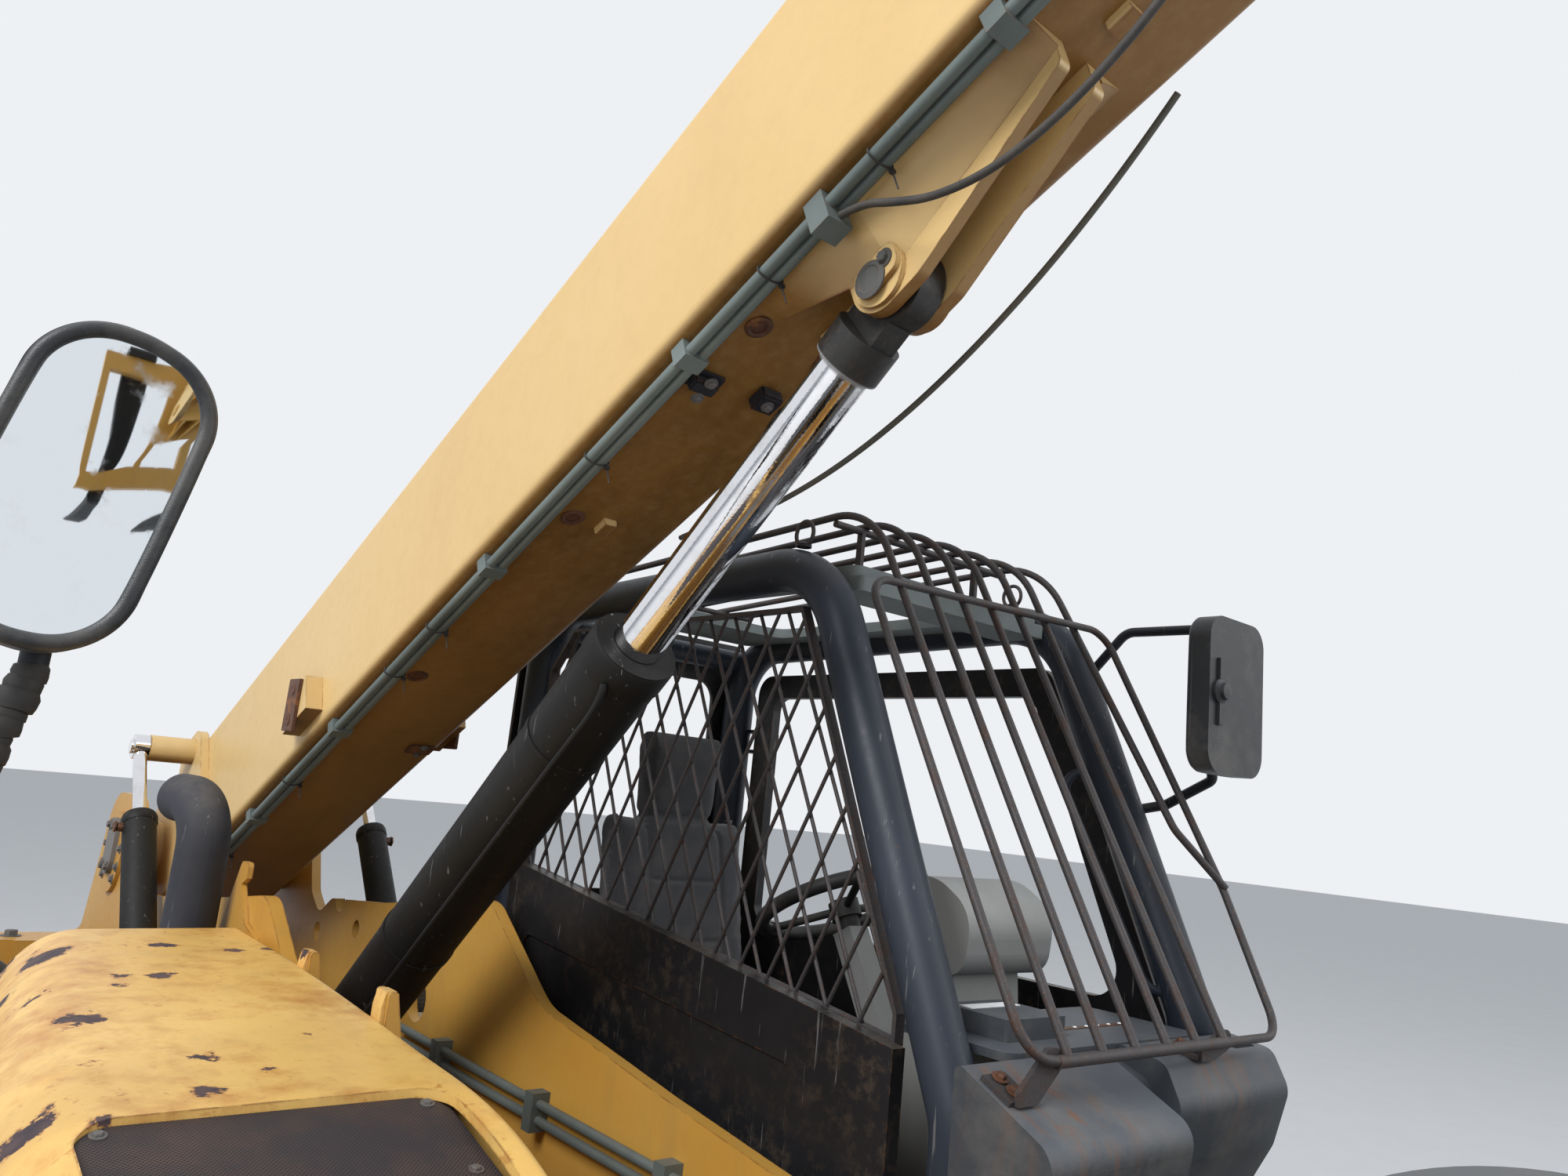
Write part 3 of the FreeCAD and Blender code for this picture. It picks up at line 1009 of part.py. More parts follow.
def cord_tube(points, diameter):
    """Straight runs joined by arcs, each as large as its two runs allow."""
    points = [V(*p) for p in points]
    edges = []
    start = points[0]
    radii = []
    for before, corner, after in zip(points, points[1:], points[2:]):
        back = before - corner
        ahead = after - corner
        shorter = min(back.Length, ahead.Length)
        back.normalize()
        ahead.normalize()
        half = back.getAngle(ahead) / 2
        run = 0.45 * shorter
        radius = run * math.tan(half)
        middle = corner + (back + ahead).normalize() * (radius / math.sin(half) - radius)
        edges.append(Part.makeLine(start, corner + back * run))
        edges.append(Part.Arc(corner + back * run, middle, corner + ahead * run).toShape())
        start = corner + ahead * run
        radii.append(radius)
    edges.append(Part.makeLine(start, points[-1]))
    path = Part.Wire(edges)
    ring = Part.Wire(Part.makeCircle(diameter / 2, points[0], points[1] - points[0]))
    swept = path.makePipeShell([ring], True, False)
    expected = math.pi * (diameter / 2) ** 2 * path.Length
    print("cord", round(path.Length), "mm, least radius", round(min(radii)), "volume ratio",
          round(swept.Volume / expected, 4))
    return swept


def make_cables():
    """Two slack cables under the boom, each between two clips, drawn in the boom's axes."""
    shaped("cable_left", cord_tube(CABLE_LEFT, d.cable_left), pivot.x, 0, pivot.z, boom_turn)
    shaped("cable_right", cord_tube(CABLE_RIGHT, d.cable_right), pivot.x, 0, pivot.z, boom_turn)


make_frame()
make_counterweight()
make_pivot_pin()
for name, x, faces in (("front", d.wheelbase, -1), ("rear", 0, 1)):
    make_axle(f"axle_{name}", x, faces)
    for hand, side in (("left", 1), ("right", -1)):
        make_knuckle(f"knuckle_{name}_{hand}", x, side, faces)
        make_rim(f"rim_{name}_{hand}", x, side)
        make_tyre(f"tyre_{name}_{hand}", x, side)
make_fenders()
make_boom_outer()
make_boom_mid()
make_boom_fly()
make_boom_head()
make_lift_cylinder()
make_level_cylinders()
make_tilt_cylinder()
make_carriage()
make_forks()
make_hood()
make_grille()
make_pod()
make_exhaust()
make_tanks()
make_frame_pipes()
make_cab()
make_guard()
make_mesh()
make_door()
make_mirrors()
make_boom_pipes()
make_cables()

doc.recompute()
for thing in nodes:
    thing.Placement.Base = thing.Placement.Base + V(shift, 0, 0)
doc.recompute()

for thing in doc.Objects:
    bad = [word for word in ("Invalid", "Error") if word in thing.State]
    if bad:
        raise RuntimeError(f"{thing.Label}: {bad}")
for feature in pockets:
    if abs(feature.Shape.Volume - feature.BaseFeature.Shape.Volume) < 1:
        raise RuntimeError(f"{feature.Label} cuts nothing")
os.makedirs("parts", exist_ok=True)
for thing in nodes:
    shape = thing.Shape
    if shape.isNull() or not shape.isValid():
        raise RuntimeError(f"{thing.Label} is not a valid solid")
    shape.exportStep(f"parts/{thing.Label}.step")
print(len(nodes), "nodes, X shift", round(shift, 3))
print("pivot", pivot, "head", head_pivot, "lift eye", lift_eye, "level eye", level_eye, "tilt", tilt_foot, tilt_eye)
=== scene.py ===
import math
import random

import bmesh
import bpy
from mathutils import Matrix, Vector


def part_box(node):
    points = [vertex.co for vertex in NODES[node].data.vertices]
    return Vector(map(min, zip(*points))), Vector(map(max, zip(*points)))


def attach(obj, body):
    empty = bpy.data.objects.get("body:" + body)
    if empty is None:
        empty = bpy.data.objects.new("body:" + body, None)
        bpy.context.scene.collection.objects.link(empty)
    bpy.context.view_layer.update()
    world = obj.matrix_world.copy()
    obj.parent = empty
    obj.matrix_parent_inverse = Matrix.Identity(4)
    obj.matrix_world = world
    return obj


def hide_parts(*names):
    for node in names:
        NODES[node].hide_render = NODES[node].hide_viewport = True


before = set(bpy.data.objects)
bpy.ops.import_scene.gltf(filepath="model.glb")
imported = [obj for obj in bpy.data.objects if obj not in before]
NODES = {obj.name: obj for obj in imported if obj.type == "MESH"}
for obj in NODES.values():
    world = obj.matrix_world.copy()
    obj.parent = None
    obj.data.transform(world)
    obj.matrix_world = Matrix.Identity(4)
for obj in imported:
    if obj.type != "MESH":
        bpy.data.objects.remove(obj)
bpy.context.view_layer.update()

# Part sizes, in millimetres, from the rear axle: X forward, Y left, Z up.
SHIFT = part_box("counterweight")[0].x * 1000 + 1010
PIVOT = (-100, 0, 1571)
BOOM_ANGLE = math.radians(25.2)
WHEELBASE = 3650
AXLE_HEIGHT = 640
BOOM_BELOW = -200  # the boom's underside, below its centre line
LIFT_FOOT = (600, 0, 640)
LIFT_EYE = (3368, 0, -310)  # along the boom
LEVEL_FOOT = (880, 0, 1224)
LEVEL_EYE = (247.4, 0, 1920.1)


def at(x, y, z):
    """A place given in millimetres from the rear axle, in metres in the row frame."""
    return Vector(((x + SHIFT) / 1000, y / 1000, z / 1000))


def on_boom(along, side, above):
    """A place given along the boom's centre line from its pivot."""
    c, s = math.cos(BOOM_ANGLE), math.sin(BOOM_ANGLE)
    return at(PIVOT[0] + along * c - above * s, side, PIVOT[2] + along * s + above * c)


# Node trees

class Tree:
    """A material's node tree and the sockets that its parts share."""

    def __init__(self, name):
        self.material = bpy.data.materials.new(name)
        self.material.use_nodes = True
        self.nodes = self.material.node_tree.nodes
        self.links = self.material.node_tree.links
        self.shader = self.nodes["Principled BSDF"]
        self.place = self.add("ShaderNodeTexCoord").outputs["Object"]

    def add(self, kind, settings=None, **inputs):
        node = self.nodes.new(kind)
        for key, value in (settings or {}).items():
            setattr(node, key, value)
        for key, value in inputs.items():
            self.put(node.inputs[key.replace("_", " ")], value)
        return node

    def put(self, socket, value):
        if hasattr(value, "is_output"):
            self.links.new(value, socket)
        elif isinstance(value, tuple) and len(value) == 3 and socket.type == "RGBA":
            socket.default_value = (*value, 1)
        else:
            socket.default_value = value

    def scaled(self, x=1, y=1, z=1, turn=(0, 0, 0)):
        mapping = self.add("ShaderNodeMapping", Vector=self.place)
        mapping.inputs["Scale"].default_value = (x, y, z)
        mapping.inputs["Rotation"].default_value = turn
        return mapping.outputs["Vector"]

    def noise(self, scale, detail=4, rough=0.55, place=None, distort=0):
        node = self.add("ShaderNodeTexNoise", Vector=place or self.place, Scale=scale, Detail=detail, Roughness=rough,
                        Distortion=distort)
        return node.outputs["Fac"]

    def cells(self, scale, place=None, feature="F1", random_=1.0):
        node = self.add("ShaderNodeTexVoronoi", {"feature": feature}, Vector=place or self.place, Scale=scale,
                        Randomness=random_)
        return node.outputs["Distance"]

    def calc(self, kind, a, b=0.0, clamp=False):
        node = self.add("ShaderNodeMath", {"operation": kind, "use_clamp": clamp})
        self.put(node.inputs[0], a)
        self.put(node.inputs[1], b)
        return node.outputs[0]

    def band(self, value, low, high, soft=False):
        """0 below low, 1 above high; low above high turns it round."""
        node = self.add("ShaderNodeMapRange", {"interpolation_type": "SMOOTHSTEP" if soft else "LINEAR"})
        self.put(node.inputs["Value"], value)
        if low < high:
            node.inputs["From Min"].default_value = low
            node.inputs["From Max"].default_value = high
            return node.outputs[0]
        node.inputs["From Min"].default_value = high
        node.inputs["From Max"].default_value = low
        node.inputs["To Min"].default_value = 1
        node.inputs["To Max"].default_value = 0
        return node.outputs[0]

    def mix(self, share, a, b, blend="MIX"):
        node = self.add("ShaderNodeMix", {"data_type": "RGBA", "blend_type": blend})
        self.put(node.inputs[0], share)
        self.put(node.inputs[6], a)
        self.put(node.inputs[7], b)
        return node.outputs[2]

    def axis(self, letter, place=None):
        return self.add("ShaderNodeSeparateXYZ", Vector=place or self.place).outputs[letter]

    def facing(self, letter):
        return self.axis(letter, self.add("ShaderNodeTexCoord").outputs["Normal"])

    def edges(self, radius=0.004):
        """1 on worn edges, from how far the rounded normal leaves the face's own."""
        rounded_ = self.add("ShaderNodeBevel", {"samples": 4}, Radius=radius).outputs[0]
        flat = self.add("ShaderNodeNewGeometry").outputs["Normal"]
        dot = self.add("ShaderNodeVectorMath", {"operation": "DOT_PRODUCT"})
        self.put(dot.inputs[0], rounded_)
        self.put(dot.inputs[1], flat)
        return self.band(dot.outputs["Value"], 0.985, 0.9)

    def blots(self, scale, share, jag=0.16):
        """Above 0 inside ragged blots, one in a share of the cells, of differing sizes."""
        shake = self.add("ShaderNodeTexNoise", Vector=self.place, Scale=scale * 3, Detail=6, Roughness=0.7)
        push = self.add("ShaderNodeVectorMath", {"operation": "SCALE"})
        self.put(push.inputs[0], shake.outputs["Color"])
        push.inputs["Scale"].default_value = jag
        place = self.add("ShaderNodeVectorMath", {"operation": "ADD"})
        self.put(place.inputs[0], self.place)
        self.put(place.inputs[1], push.outputs[0])
        cell = self.add("ShaderNodeTexVoronoi", Vector=place.outputs[0], Scale=scale)
        pick = self.add("ShaderNodeSeparateColor", Color=cell.outputs["Color"]).outputs[0]
        reach = self.calc("MULTIPLY", self.band(pick, 1 - share, 1), 0.36)
        return self.calc("SUBTRACT", reach, cell.outputs["Distance"])

    def near(self, place, radius, soft=0.5):
        """1 within a radius of a place, fading out by the share soft."""
        gap = self.add("ShaderNodeVectorMath", {"operation": "DISTANCE"}, Vector=self.place)
        gap.inputs[1].default_value = place
        return self.band(gap.outputs["Value"], radius * (1 + soft), radius)

    def bump(self, height, strength=0.3, distance=0.002, normal=None):
        node = self.add("ShaderNodeBump", Height=height, Strength=strength, Distance=distance)
        if normal:
            self.put(node.inputs["Normal"], normal)
        return node.outputs[0]

    def finish(self, color, rough=0.5, metal=0.0, normal=None, specular=0.5, coat=0.0, coat_rough=0.1, sheen=0.0):
        self.put(self.shader.inputs["Base Color"], color)
        self.put(self.shader.inputs["Roughness"], rough)
        self.put(self.shader.inputs["Metallic"], metal)
        self.shader.inputs["Specular IOR Level"].default_value = specular
        self.shader.inputs["Coat Weight"].default_value = coat
        self.shader.inputs["Coat Roughness"].default_value = coat_rough
        self.shader.inputs["Sheen Weight"].default_value = sheen
        if normal:
            self.put(self.shader.inputs["Normal"], normal)
        return self.material


RUST_DARK = (0.055, 0.022, 0.012)
RUST = (0.20, 0.075, 0.022)
RUST_LIGHT = (0.42, 0.19, 0.06)
DIRT = (0.16, 0.12, 0.085)
YELLOW = (0.60, 0.42, 0.185)
YELLOW_DEEP = (0.57, 0.385, 0.155)
BLACK = (0.018, 0.020, 0.025)


def yellow_paint(name, wear=0.0, base=YELLOW, deep=YELLOW_DEEP, streaks=0.35, underside_shade=None):
    """Enamel with faint mottling, dirt and rust at its edges; wear adds peeled patches; an underside colour paints
    shade on downward faces, dark brown with stain streaks.
    """
    t = Tree(name)
    broad = t.noise(1.4, 5, 0.6)
    fine = t.noise(38, 6, 0.65)
    color = t.mix(t.band(broad, 0.35, 0.7), base, deep)
    if underside_shade:
        # Painted shade: downward faces turn dark brown, streaked with stain.
        shade_and_stain = t.mix(t.band(t.noise(3.5, 8, 0.7, t.scaled(0.35, 1, 1, (0, math.radians(25), 0))), 0.42, 0.7), underside_shade,
                        tuple(0.55 * c for c in underside_shade))
        color = t.mix(t.band(t.facing("Z"), -0.35, -0.8), color, shade_and_stain)
    color = t.mix(t.calc("MULTIPLY", t.band(fine, 0.45, 0.75), 0.18), color, tuple(0.72 * c for c in base))
    run = t.noise(7, 6, 0.7, t.scaled(1, 1, 0.12))
    color = t.mix(t.calc("MULTIPLY", t.band(run, 0.52, 0.8), streaks), color, (0.30, 0.19, 0.08))
    edge = t.edges(0.005)
    chips = t.calc("MULTIPLY", edge, t.band(t.noise(24, 5, 0.7), 0.42, 0.56))
    color = t.mix(chips, color, RUST)
    rough = t.calc("ADD", t.calc("MULTIPLY", fine, 0.22), 0.30)
    height = t.calc("MULTIPLY", t.noise(160, 3, 0.5), 0.25)
    if wear:
        patch = t.calc("MAXIMUM", t.blots(5.5, 0.55), t.calc("MULTIPLY", t.blots(14, 0.3, 0.07), 0.5))
        spots = t.noise(21, 5, 0.6)
        stain = t.band(t.calc("ADD", t.noise(3.2, 8, 0.72), t.calc("MULTIPLY", spots, 0.35)), 0.64, 0.84)
        color = t.mix(t.calc("MULTIPLY", stain, 0.8 * wear), color, (0.42, 0.17, 0.03))
        speckle = t.band(t.noise(48, 4, 0.6), 0.62, 0.70)
        speckle = t.calc("MULTIPLY", speckle, t.band(broad, 0.42, 0.6))
        color = t.mix(t.calc("MULTIPLY", speckle, 0.7), color, (0.38, 0.13, 0.02))
        halo = t.band(patch, -0.035, 0.0)
        bare = t.band(patch, 0.0, 0.012)
        color = t.mix(t.calc("MULTIPLY", halo, 0.8), color, (0.30, 0.10, 0.02))
        color = t.mix(bare, color, t.mix(t.band(spots, 0.4, 0.6), (0.030, 0.020, 0.028), (0.075, 0.045, 0.045)))
        height = t.calc("SUBTRACT", height, t.calc("MULTIPLY", bare, 0.8))
        rough = t.calc("ADD", rough, t.calc("MULTIPLY", bare, 0.3))
    return t.finish(color, rough, normal=t.bump(height, 0.25, 0.0015))


def dark_paint(name, base=BLACK, rust=0.25, dust=0.25, gloss=0.32, metal=0.0, mottle=0.0):
    """Dark enamel with scratches, dust on upward faces and rusty chips; mottle adds dried brown splashes."""
    t = Tree(name)
    fine = t.noise(46, 6, 0.7)
    color = t.mix(t.band(t.noise(2.3, 5), 0.3, 0.75), base, tuple(2.1 * c + 0.004 for c in base))
    up = t.band(t.facing("Z"), 0.2, 0.95)
    powder = t.calc("MULTIPLY", up, t.band(t.noise(9, 7, 0.75), 0.35, 0.75))
    color = t.mix(t.calc("MULTIPLY", powder, dust), color, (0.26, 0.22, 0.17))
    if mottle:
        splash = t.calc("MULTIPLY", t.band(t.noise(26, 7, 0.72), 0.5, 0.62), t.band(t.noise(2.6, 4), 0.4, 0.62))
        color = t.mix(t.calc("MULTIPLY", splash, mottle), color, (0.085, 0.062, 0.042))
    scratch = t.noise(90, 3, 0.6, t.scaled(1, 1, 0.06, (0.5, 0.9, 0.3)))
    color = t.mix(t.calc("MULTIPLY", t.band(scratch, 0.66, 0.72), 0.5), color, (0.20, 0.20, 0.20))
    chip = t.calc("MULTIPLY", t.edges(0.004), t.band(fine, 0.48, 0.6))
    spots = t.band(t.noise(13, 8, 0.75), 0.66, 0.72)
    color = t.mix(t.calc("MULTIPLY", t.calc("MAXIMUM", chip, spots), rust), color, RUST)
    rough = t.calc("ADD", t.calc("MULTIPLY", fine, 0.3), gloss)
    return t.finish(color, rough, metal, t.bump(fine, 0.12, 0.001), specular=0.22)


def chrome(name="chrome_rod", greased=None):
    """Polished rod with smears; greased is a place round which it is black with old grease."""
    t = Tree(name)
    fine = t.noise(300, 3, 0.5, t.scaled(0.08, 1, 1, (0, 0.69, 0)))
    smear = t.band(t.noise(11, 6, 0.7), 0.5, 0.75)
    color = t.mix(t.calc("MULTIPLY", smear, 0.5), (0.80, 0.80, 0.82), (0.42, 0.40, 0.37))
    rough = t.calc("ADD", t.calc("MULTIPLY", smear, 0.22), t.calc("MULTIPLY", fine, 0.08))
    metal = 1.0
    if greased:
        clot = t.near(greased, 0.155, 0.06)
        lumps = t.noise(55, 6, 0.7)
        color = t.mix(clot, color, t.mix(t.band(lumps, 0.5, 0.7), (0.012, 0.011, 0.010), (0.035, 0.026, 0.02)))
        rough = t.calc("ADD", rough, t.calc("MULTIPLY", clot, 0.42))
        metal = t.calc("SUBTRACT", 1, clot)
        fine = t.calc("ADD", fine, t.calc("MULTIPLY", clot, t.calc("MULTIPLY", lumps, 6)))
    return t.finish(color, rough, metal, t.bump(fine, 0.05 if not greased else 0.2, 0.0005))


def rusty_steel(name="rusty_rod", base=(0.035, 0.032, 0.034), share=0.5):
    t = Tree(name)
    patch = t.noise(16, 8, 0.75)
    color = t.mix(t.band(patch, 0.75 - 0.45 * share, 0.95 - 0.45 * share), base, RUST_DARK)
    color = t.mix(t.band(patch, 0.92 - 0.45 * share, 1.02 - 0.45 * share), color, RUST)
    grit = t.noise(240, 4, 0.7)
    color = t.mix(t.calc("MULTIPLY", t.band(grit, 0.55, 0.8), 0.35), color, RUST_LIGHT)
    return t.finish(color, t.calc("ADD", t.calc("MULTIPLY", patch, 0.4), 0.4), 0.2, t.bump(grit, 0.4, 0.0008))


def plastic(name, base, grain=0.35, streak=0.5, rough=0.55, rusted=()):
    """Moulded plastic: pebbled grain, sun-faded, with dust and brown run marks, more at the rusted places."""
    t = Tree(name)
    fade = t.band(t.facing("Z"), -0.2, 0.9)
    color = t.mix(fade, base, tuple(1.7 * c + 0.012 for c in base))
    cloud = t.noise(6, 7, 0.7)
    color = t.mix(t.calc("MULTIPLY", t.band(cloud, 0.45, 0.75), 0.35), color, (0.23, 0.21, 0.18))
    run = t.noise(9, 5, 0.6, t.scaled(1, 1, 0.1))
    color = t.mix(t.calc("MULTIPLY", t.band(run, 0.62, 0.78), streak), color, (0.17, 0.09, 0.045))
    streaks_ = t.noise(34, 6, 0.7, t.scaled(0.6, 1, 0.12)) if rusted else None
    for place, radius in rusted:
        stain = t.calc("MULTIPLY", t.near(place, radius, 2.5), t.band(streaks_, 0.5, 0.72))
        color = t.mix(t.calc("MULTIPLY", stain, 0.55), color, (0.17, 0.068, 0.028))
    pebble = t.cells(520)
    return t.finish(color, t.calc("ADD", t.calc("MULTIPLY", cloud, 0.25), rough - 0.12), 0.0,
                    t.bump(pebble, grain, 0.0006), specular=0.3)


def tyre():
    """Dusty tread rubber with moulded rings on its sidewalls."""
    t = Tree("tyre")
    x = t.axis("X")
    z = t.calc("SUBTRACT", t.axis("Z"), AXLE_HEIGHT / 1000)
    rear = t.calc("ABSOLUTE", t.calc("SUBTRACT", x, SHIFT / 1000))
    front = t.calc("ABSOLUTE", t.calc("SUBTRACT", x, (SHIFT + WHEELBASE) / 1000))
    across = t.calc("MINIMUM", rear, front)
    from_hub = t.calc("SQRT", t.calc("ADD", t.calc("MULTIPLY", across, across), t.calc("MULTIPLY", z, z)))
    ring = t.calc("SINE", t.calc("MULTIPLY", from_hub, 420))
    wall = t.calc("MULTIPLY", t.band(from_hub, 0.345, 0.36), t.band(from_hub, 0.56, 0.53))
    cloud = t.noise(5, 8, 0.75)
    mud = t.calc("MULTIPLY", t.band(from_hub, 0.5, 0.62), 0.35)
    dust = t.calc("ADD", t.calc("MULTIPLY", t.band(cloud, 0.35, 0.7), 0.7), mud)
    color = t.mix(t.calc("MINIMUM", dust, 0.9), (0.024, 0.024, 0.025), (0.19, 0.155, 0.115))
    fine = t.noise(70, 5, 0.7)
    color = t.mix(t.calc("MULTIPLY", fine, 0.25), color, (0.012, 0.012, 0.012))
    height = t.calc("ADD", fine, t.calc("MULTIPLY", t.calc("MULTIPLY", ring, wall), 0.6))
    return t.finish(color, t.calc("ADD", t.calc("MULTIPLY", fine, 0.2), 0.62), 0, t.bump(height, 0.4, 0.003))


def perforated():
    """Dark sheet with staggered punched holes about 5 mm apart, rusting in places; the holes are painted near-black as
    shade of the space behind.
    """
    t = Tree("perforated")
    a = t.calc("SINE", t.calc("MULTIPLY", t.axis("X"), 1050))
    b = t.calc("SINE", t.calc("MULTIPLY", t.axis("Y"), 1050))
    hole = t.band(t.calc("MULTIPLY", a, b), 0.05, 0.25)
    cloud = t.noise(8, 7, 0.7)
    sheet = t.mix(t.band(cloud, 0.42, 0.7), (0.036, 0.028, 0.032), (0.080, 0.045, 0.036))
    # Painted shade: the holes take a near-black colour for the dark space behind the sheet.
    color = t.mix(hole, sheet, (0.004, 0.004, 0.005))
    return t.finish(color, 0.6, 0.1, t.bump(t.calc("SUBTRACT", 1, hole), 0.6, 0.002))


def rubber(name, base, dusty):
    t = Tree(name)
    cloud = t.noise(5, 8, 0.75)
    color = t.mix(t.calc("MULTIPLY", t.band(cloud, 0.35, 0.7), dusty), base, (0.20, 0.165, 0.125))
    fine = t.noise(70, 5, 0.7)
    color = t.mix(t.calc("MULTIPLY", fine, 0.2), color, tuple(0.5 * c for c in base))
    return t.finish(color, t.calc("ADD", t.calc("MULTIPLY", fine, 0.2), 0.62), 0, t.bump(fine, 0.35, 0.0015))


def cast_iron():
    t = Tree("engine_iron")
    fine = t.noise(60, 6, 0.7)
    oil = t.band(t.noise(4, 6, 0.7), 0.42, 0.7)
    color = t.mix(oil, (0.09, 0.085, 0.08), (0.022, 0.018, 0.014))
    color = t.mix(t.calc("MULTIPLY", t.band(fine, 0.6, 0.8), 0.5), color, RUST)
    return t.finish(color, t.calc("SUBTRACT", 0.75, t.calc("MULTIPLY", oil, 0.35)), 0.3, t.bump(fine, 0.5, 0.002))


def cloth(name, base):
    """Woven seat fabric: warp and weft ribs, with dust."""
    t = Tree(name)
    u = t.add("ShaderNodeTexWave", {"bands_direction": "Z"}, Vector=t.place, Scale=260, Distortion=0.4).outputs["Fac"]
    v = t.add("ShaderNodeTexWave", {"bands_direction": "Y"}, Vector=t.place, Scale=260, Distortion=0.4).outputs["Fac"]
    weave = t.calc("MULTIPLY", u, v)
    cloud = t.noise(7, 7, 0.7)
    color = t.mix(weave, tuple(0.55 * c for c in base), tuple(1.5 * c for c in base))
    color = t.mix(t.calc("MULTIPLY", t.band(cloud, 0.45, 0.75), 0.35), color, (0.16, 0.14, 0.12))
    return t.finish(color, 0.9, 0, t.bump(weave, 0.5, 0.0008), sheen=0.25)


def mirror_glass():
    t = Tree("mirror_glass")
    grime = t.band(t.noise(14, 7, 0.7), 0.55, 0.85)
    color = t.mix(t.calc("MULTIPLY", grime, 0.25), (0.80, 0.84, 0.87), (0.45, 0.43, 0.40))
    return t.finish(color, t.calc("ADD", t.calc("MULTIPLY", grime, 0.2), 0.02), 1.0)


MATERIALS = {
    # The boom's underside colour is painted shade, dark brown with stain streaks.
    "boom_yellow": yellow_paint("boom_yellow", streaks=0.12, underside_shade=(0.22, 0.105, 0.022)),
    # Frame paint: a deeper orange than the boom's, with its base also darkened as painted shade.
    "frame_yellow_painted_shade": yellow_paint("frame_yellow_painted_shade", base=(0.52, 0.295, 0.062), deep=(0.46, 0.225, 0.030), streaks=0.45),
    "hood_yellow": yellow_paint("hood_yellow", 1.0, base=(0.72, 0.47, 0.15), deep=(0.68, 0.40, 0.10)),
    "rim_yellow": yellow_paint("rim_yellow", base=(0.55, 0.36, 0.12), deep=(0.42, 0.27, 0.09), streaks=0.7),
    "black": dark_paint("black", (0.010, 0.011, 0.014)),
    "tube_black": dark_paint("tube_black", (0.014, 0.018, 0.026), rust=0.2, dust=0.12, gloss=0.28),
    "panel_black": dark_paint("panel_black", (0.006, 0.006, 0.007), rust=0.5, dust=0.3, gloss=0.26, mottle=0.45),
    "roof_grey": dark_paint("roof_grey", (0.10, 0.115, 0.115), rust=0.5, dust=0.35, gloss=0.45),
    "satin_black": dark_paint("satin_black", (0.005, 0.005, 0.005), rust=0.04, dust=0.05, gloss=0.42),
    "exhaust_black": dark_paint("exhaust_black", (0.020, 0.021, 0.026), rust=0.35, dust=0.4, gloss=0.55),
    "chrome": chrome(),
    "greased_chrome": chrome("greased_chrome", tuple(on_boom(*LIFT_EYE))),
    "pin_steel": rusty_steel("pin_steel", (0.16, 0.155, 0.15), 0.35),
    "rusty_rod": rusty_steel(),
    "pipe_steel": dark_paint("pipe_steel", (0.10, 0.12, 0.115), rust=0.5, dust=0.4, gloss=0.4, metal=0.4),
    "engine": cast_iron(),
    "fender_plastic": plastic("fender_plastic", (0.045, 0.048, 0.052)),
    "cowl_plastic": plastic("cowl_plastic", (0.036, 0.041, 0.048), streak=0.5,
                            rusted=((tuple(at(3110, 400, 1530)), 0.05), (tuple(at(3130, 480, 1490)), 0.045),
                                    (tuple(at(3105, 890, 1545)), 0.03), (tuple(at(3115, 1010, 1520)), 0.03))),
    "dash_plastic": plastic("dash_plastic", (0.21, 0.215, 0.21), grain=0.25, streak=0.15),
    "wheel_plastic": plastic("wheel_plastic", (0.018, 0.018, 0.018), streak=0.0),
    "mirror_plastic": plastic("mirror_plastic", (0.022, 0.024, 0.027), streak=0.1, rough=0.42),
    "seat_cloth": cloth("seat_cloth", (0.045, 0.046, 0.052)),
    "tyre": tyre(),
    "perforated": perforated(),
    "cable_rubber": rubber("cable_rubber", (0.016, 0.016, 0.017), 0.35),
    "grey_rubber": rubber("grey_rubber", (0.075, 0.075, 0.062), 0.3),
    "tape": rubber("tape", (0.010, 0.010, 0.011), 0.12),
    "bolt_steel": rusty_steel("bolt_steel", (0.12, 0.115, 0.11), 0.55),
    "rusty_plate": rusty_steel("rusty_plate", (0.13, 0.055, 0.03), 0.9),
    "keeper_steel": dark_paint("keeper_steel", (0.055, 0.055, 0.052), rust=0.4, dust=0.4, gloss=0.5),
    "pale_label": plastic("pale_label", (0.55, 0.56, 0.57), grain=0.05, streak=0.1, rough=0.4),
    "dial": plastic("dial", (0.010, 0.010, 0.011), grain=0.05, streak=0.0, rough=0.3),
    "glass": mirror_glass(),
}

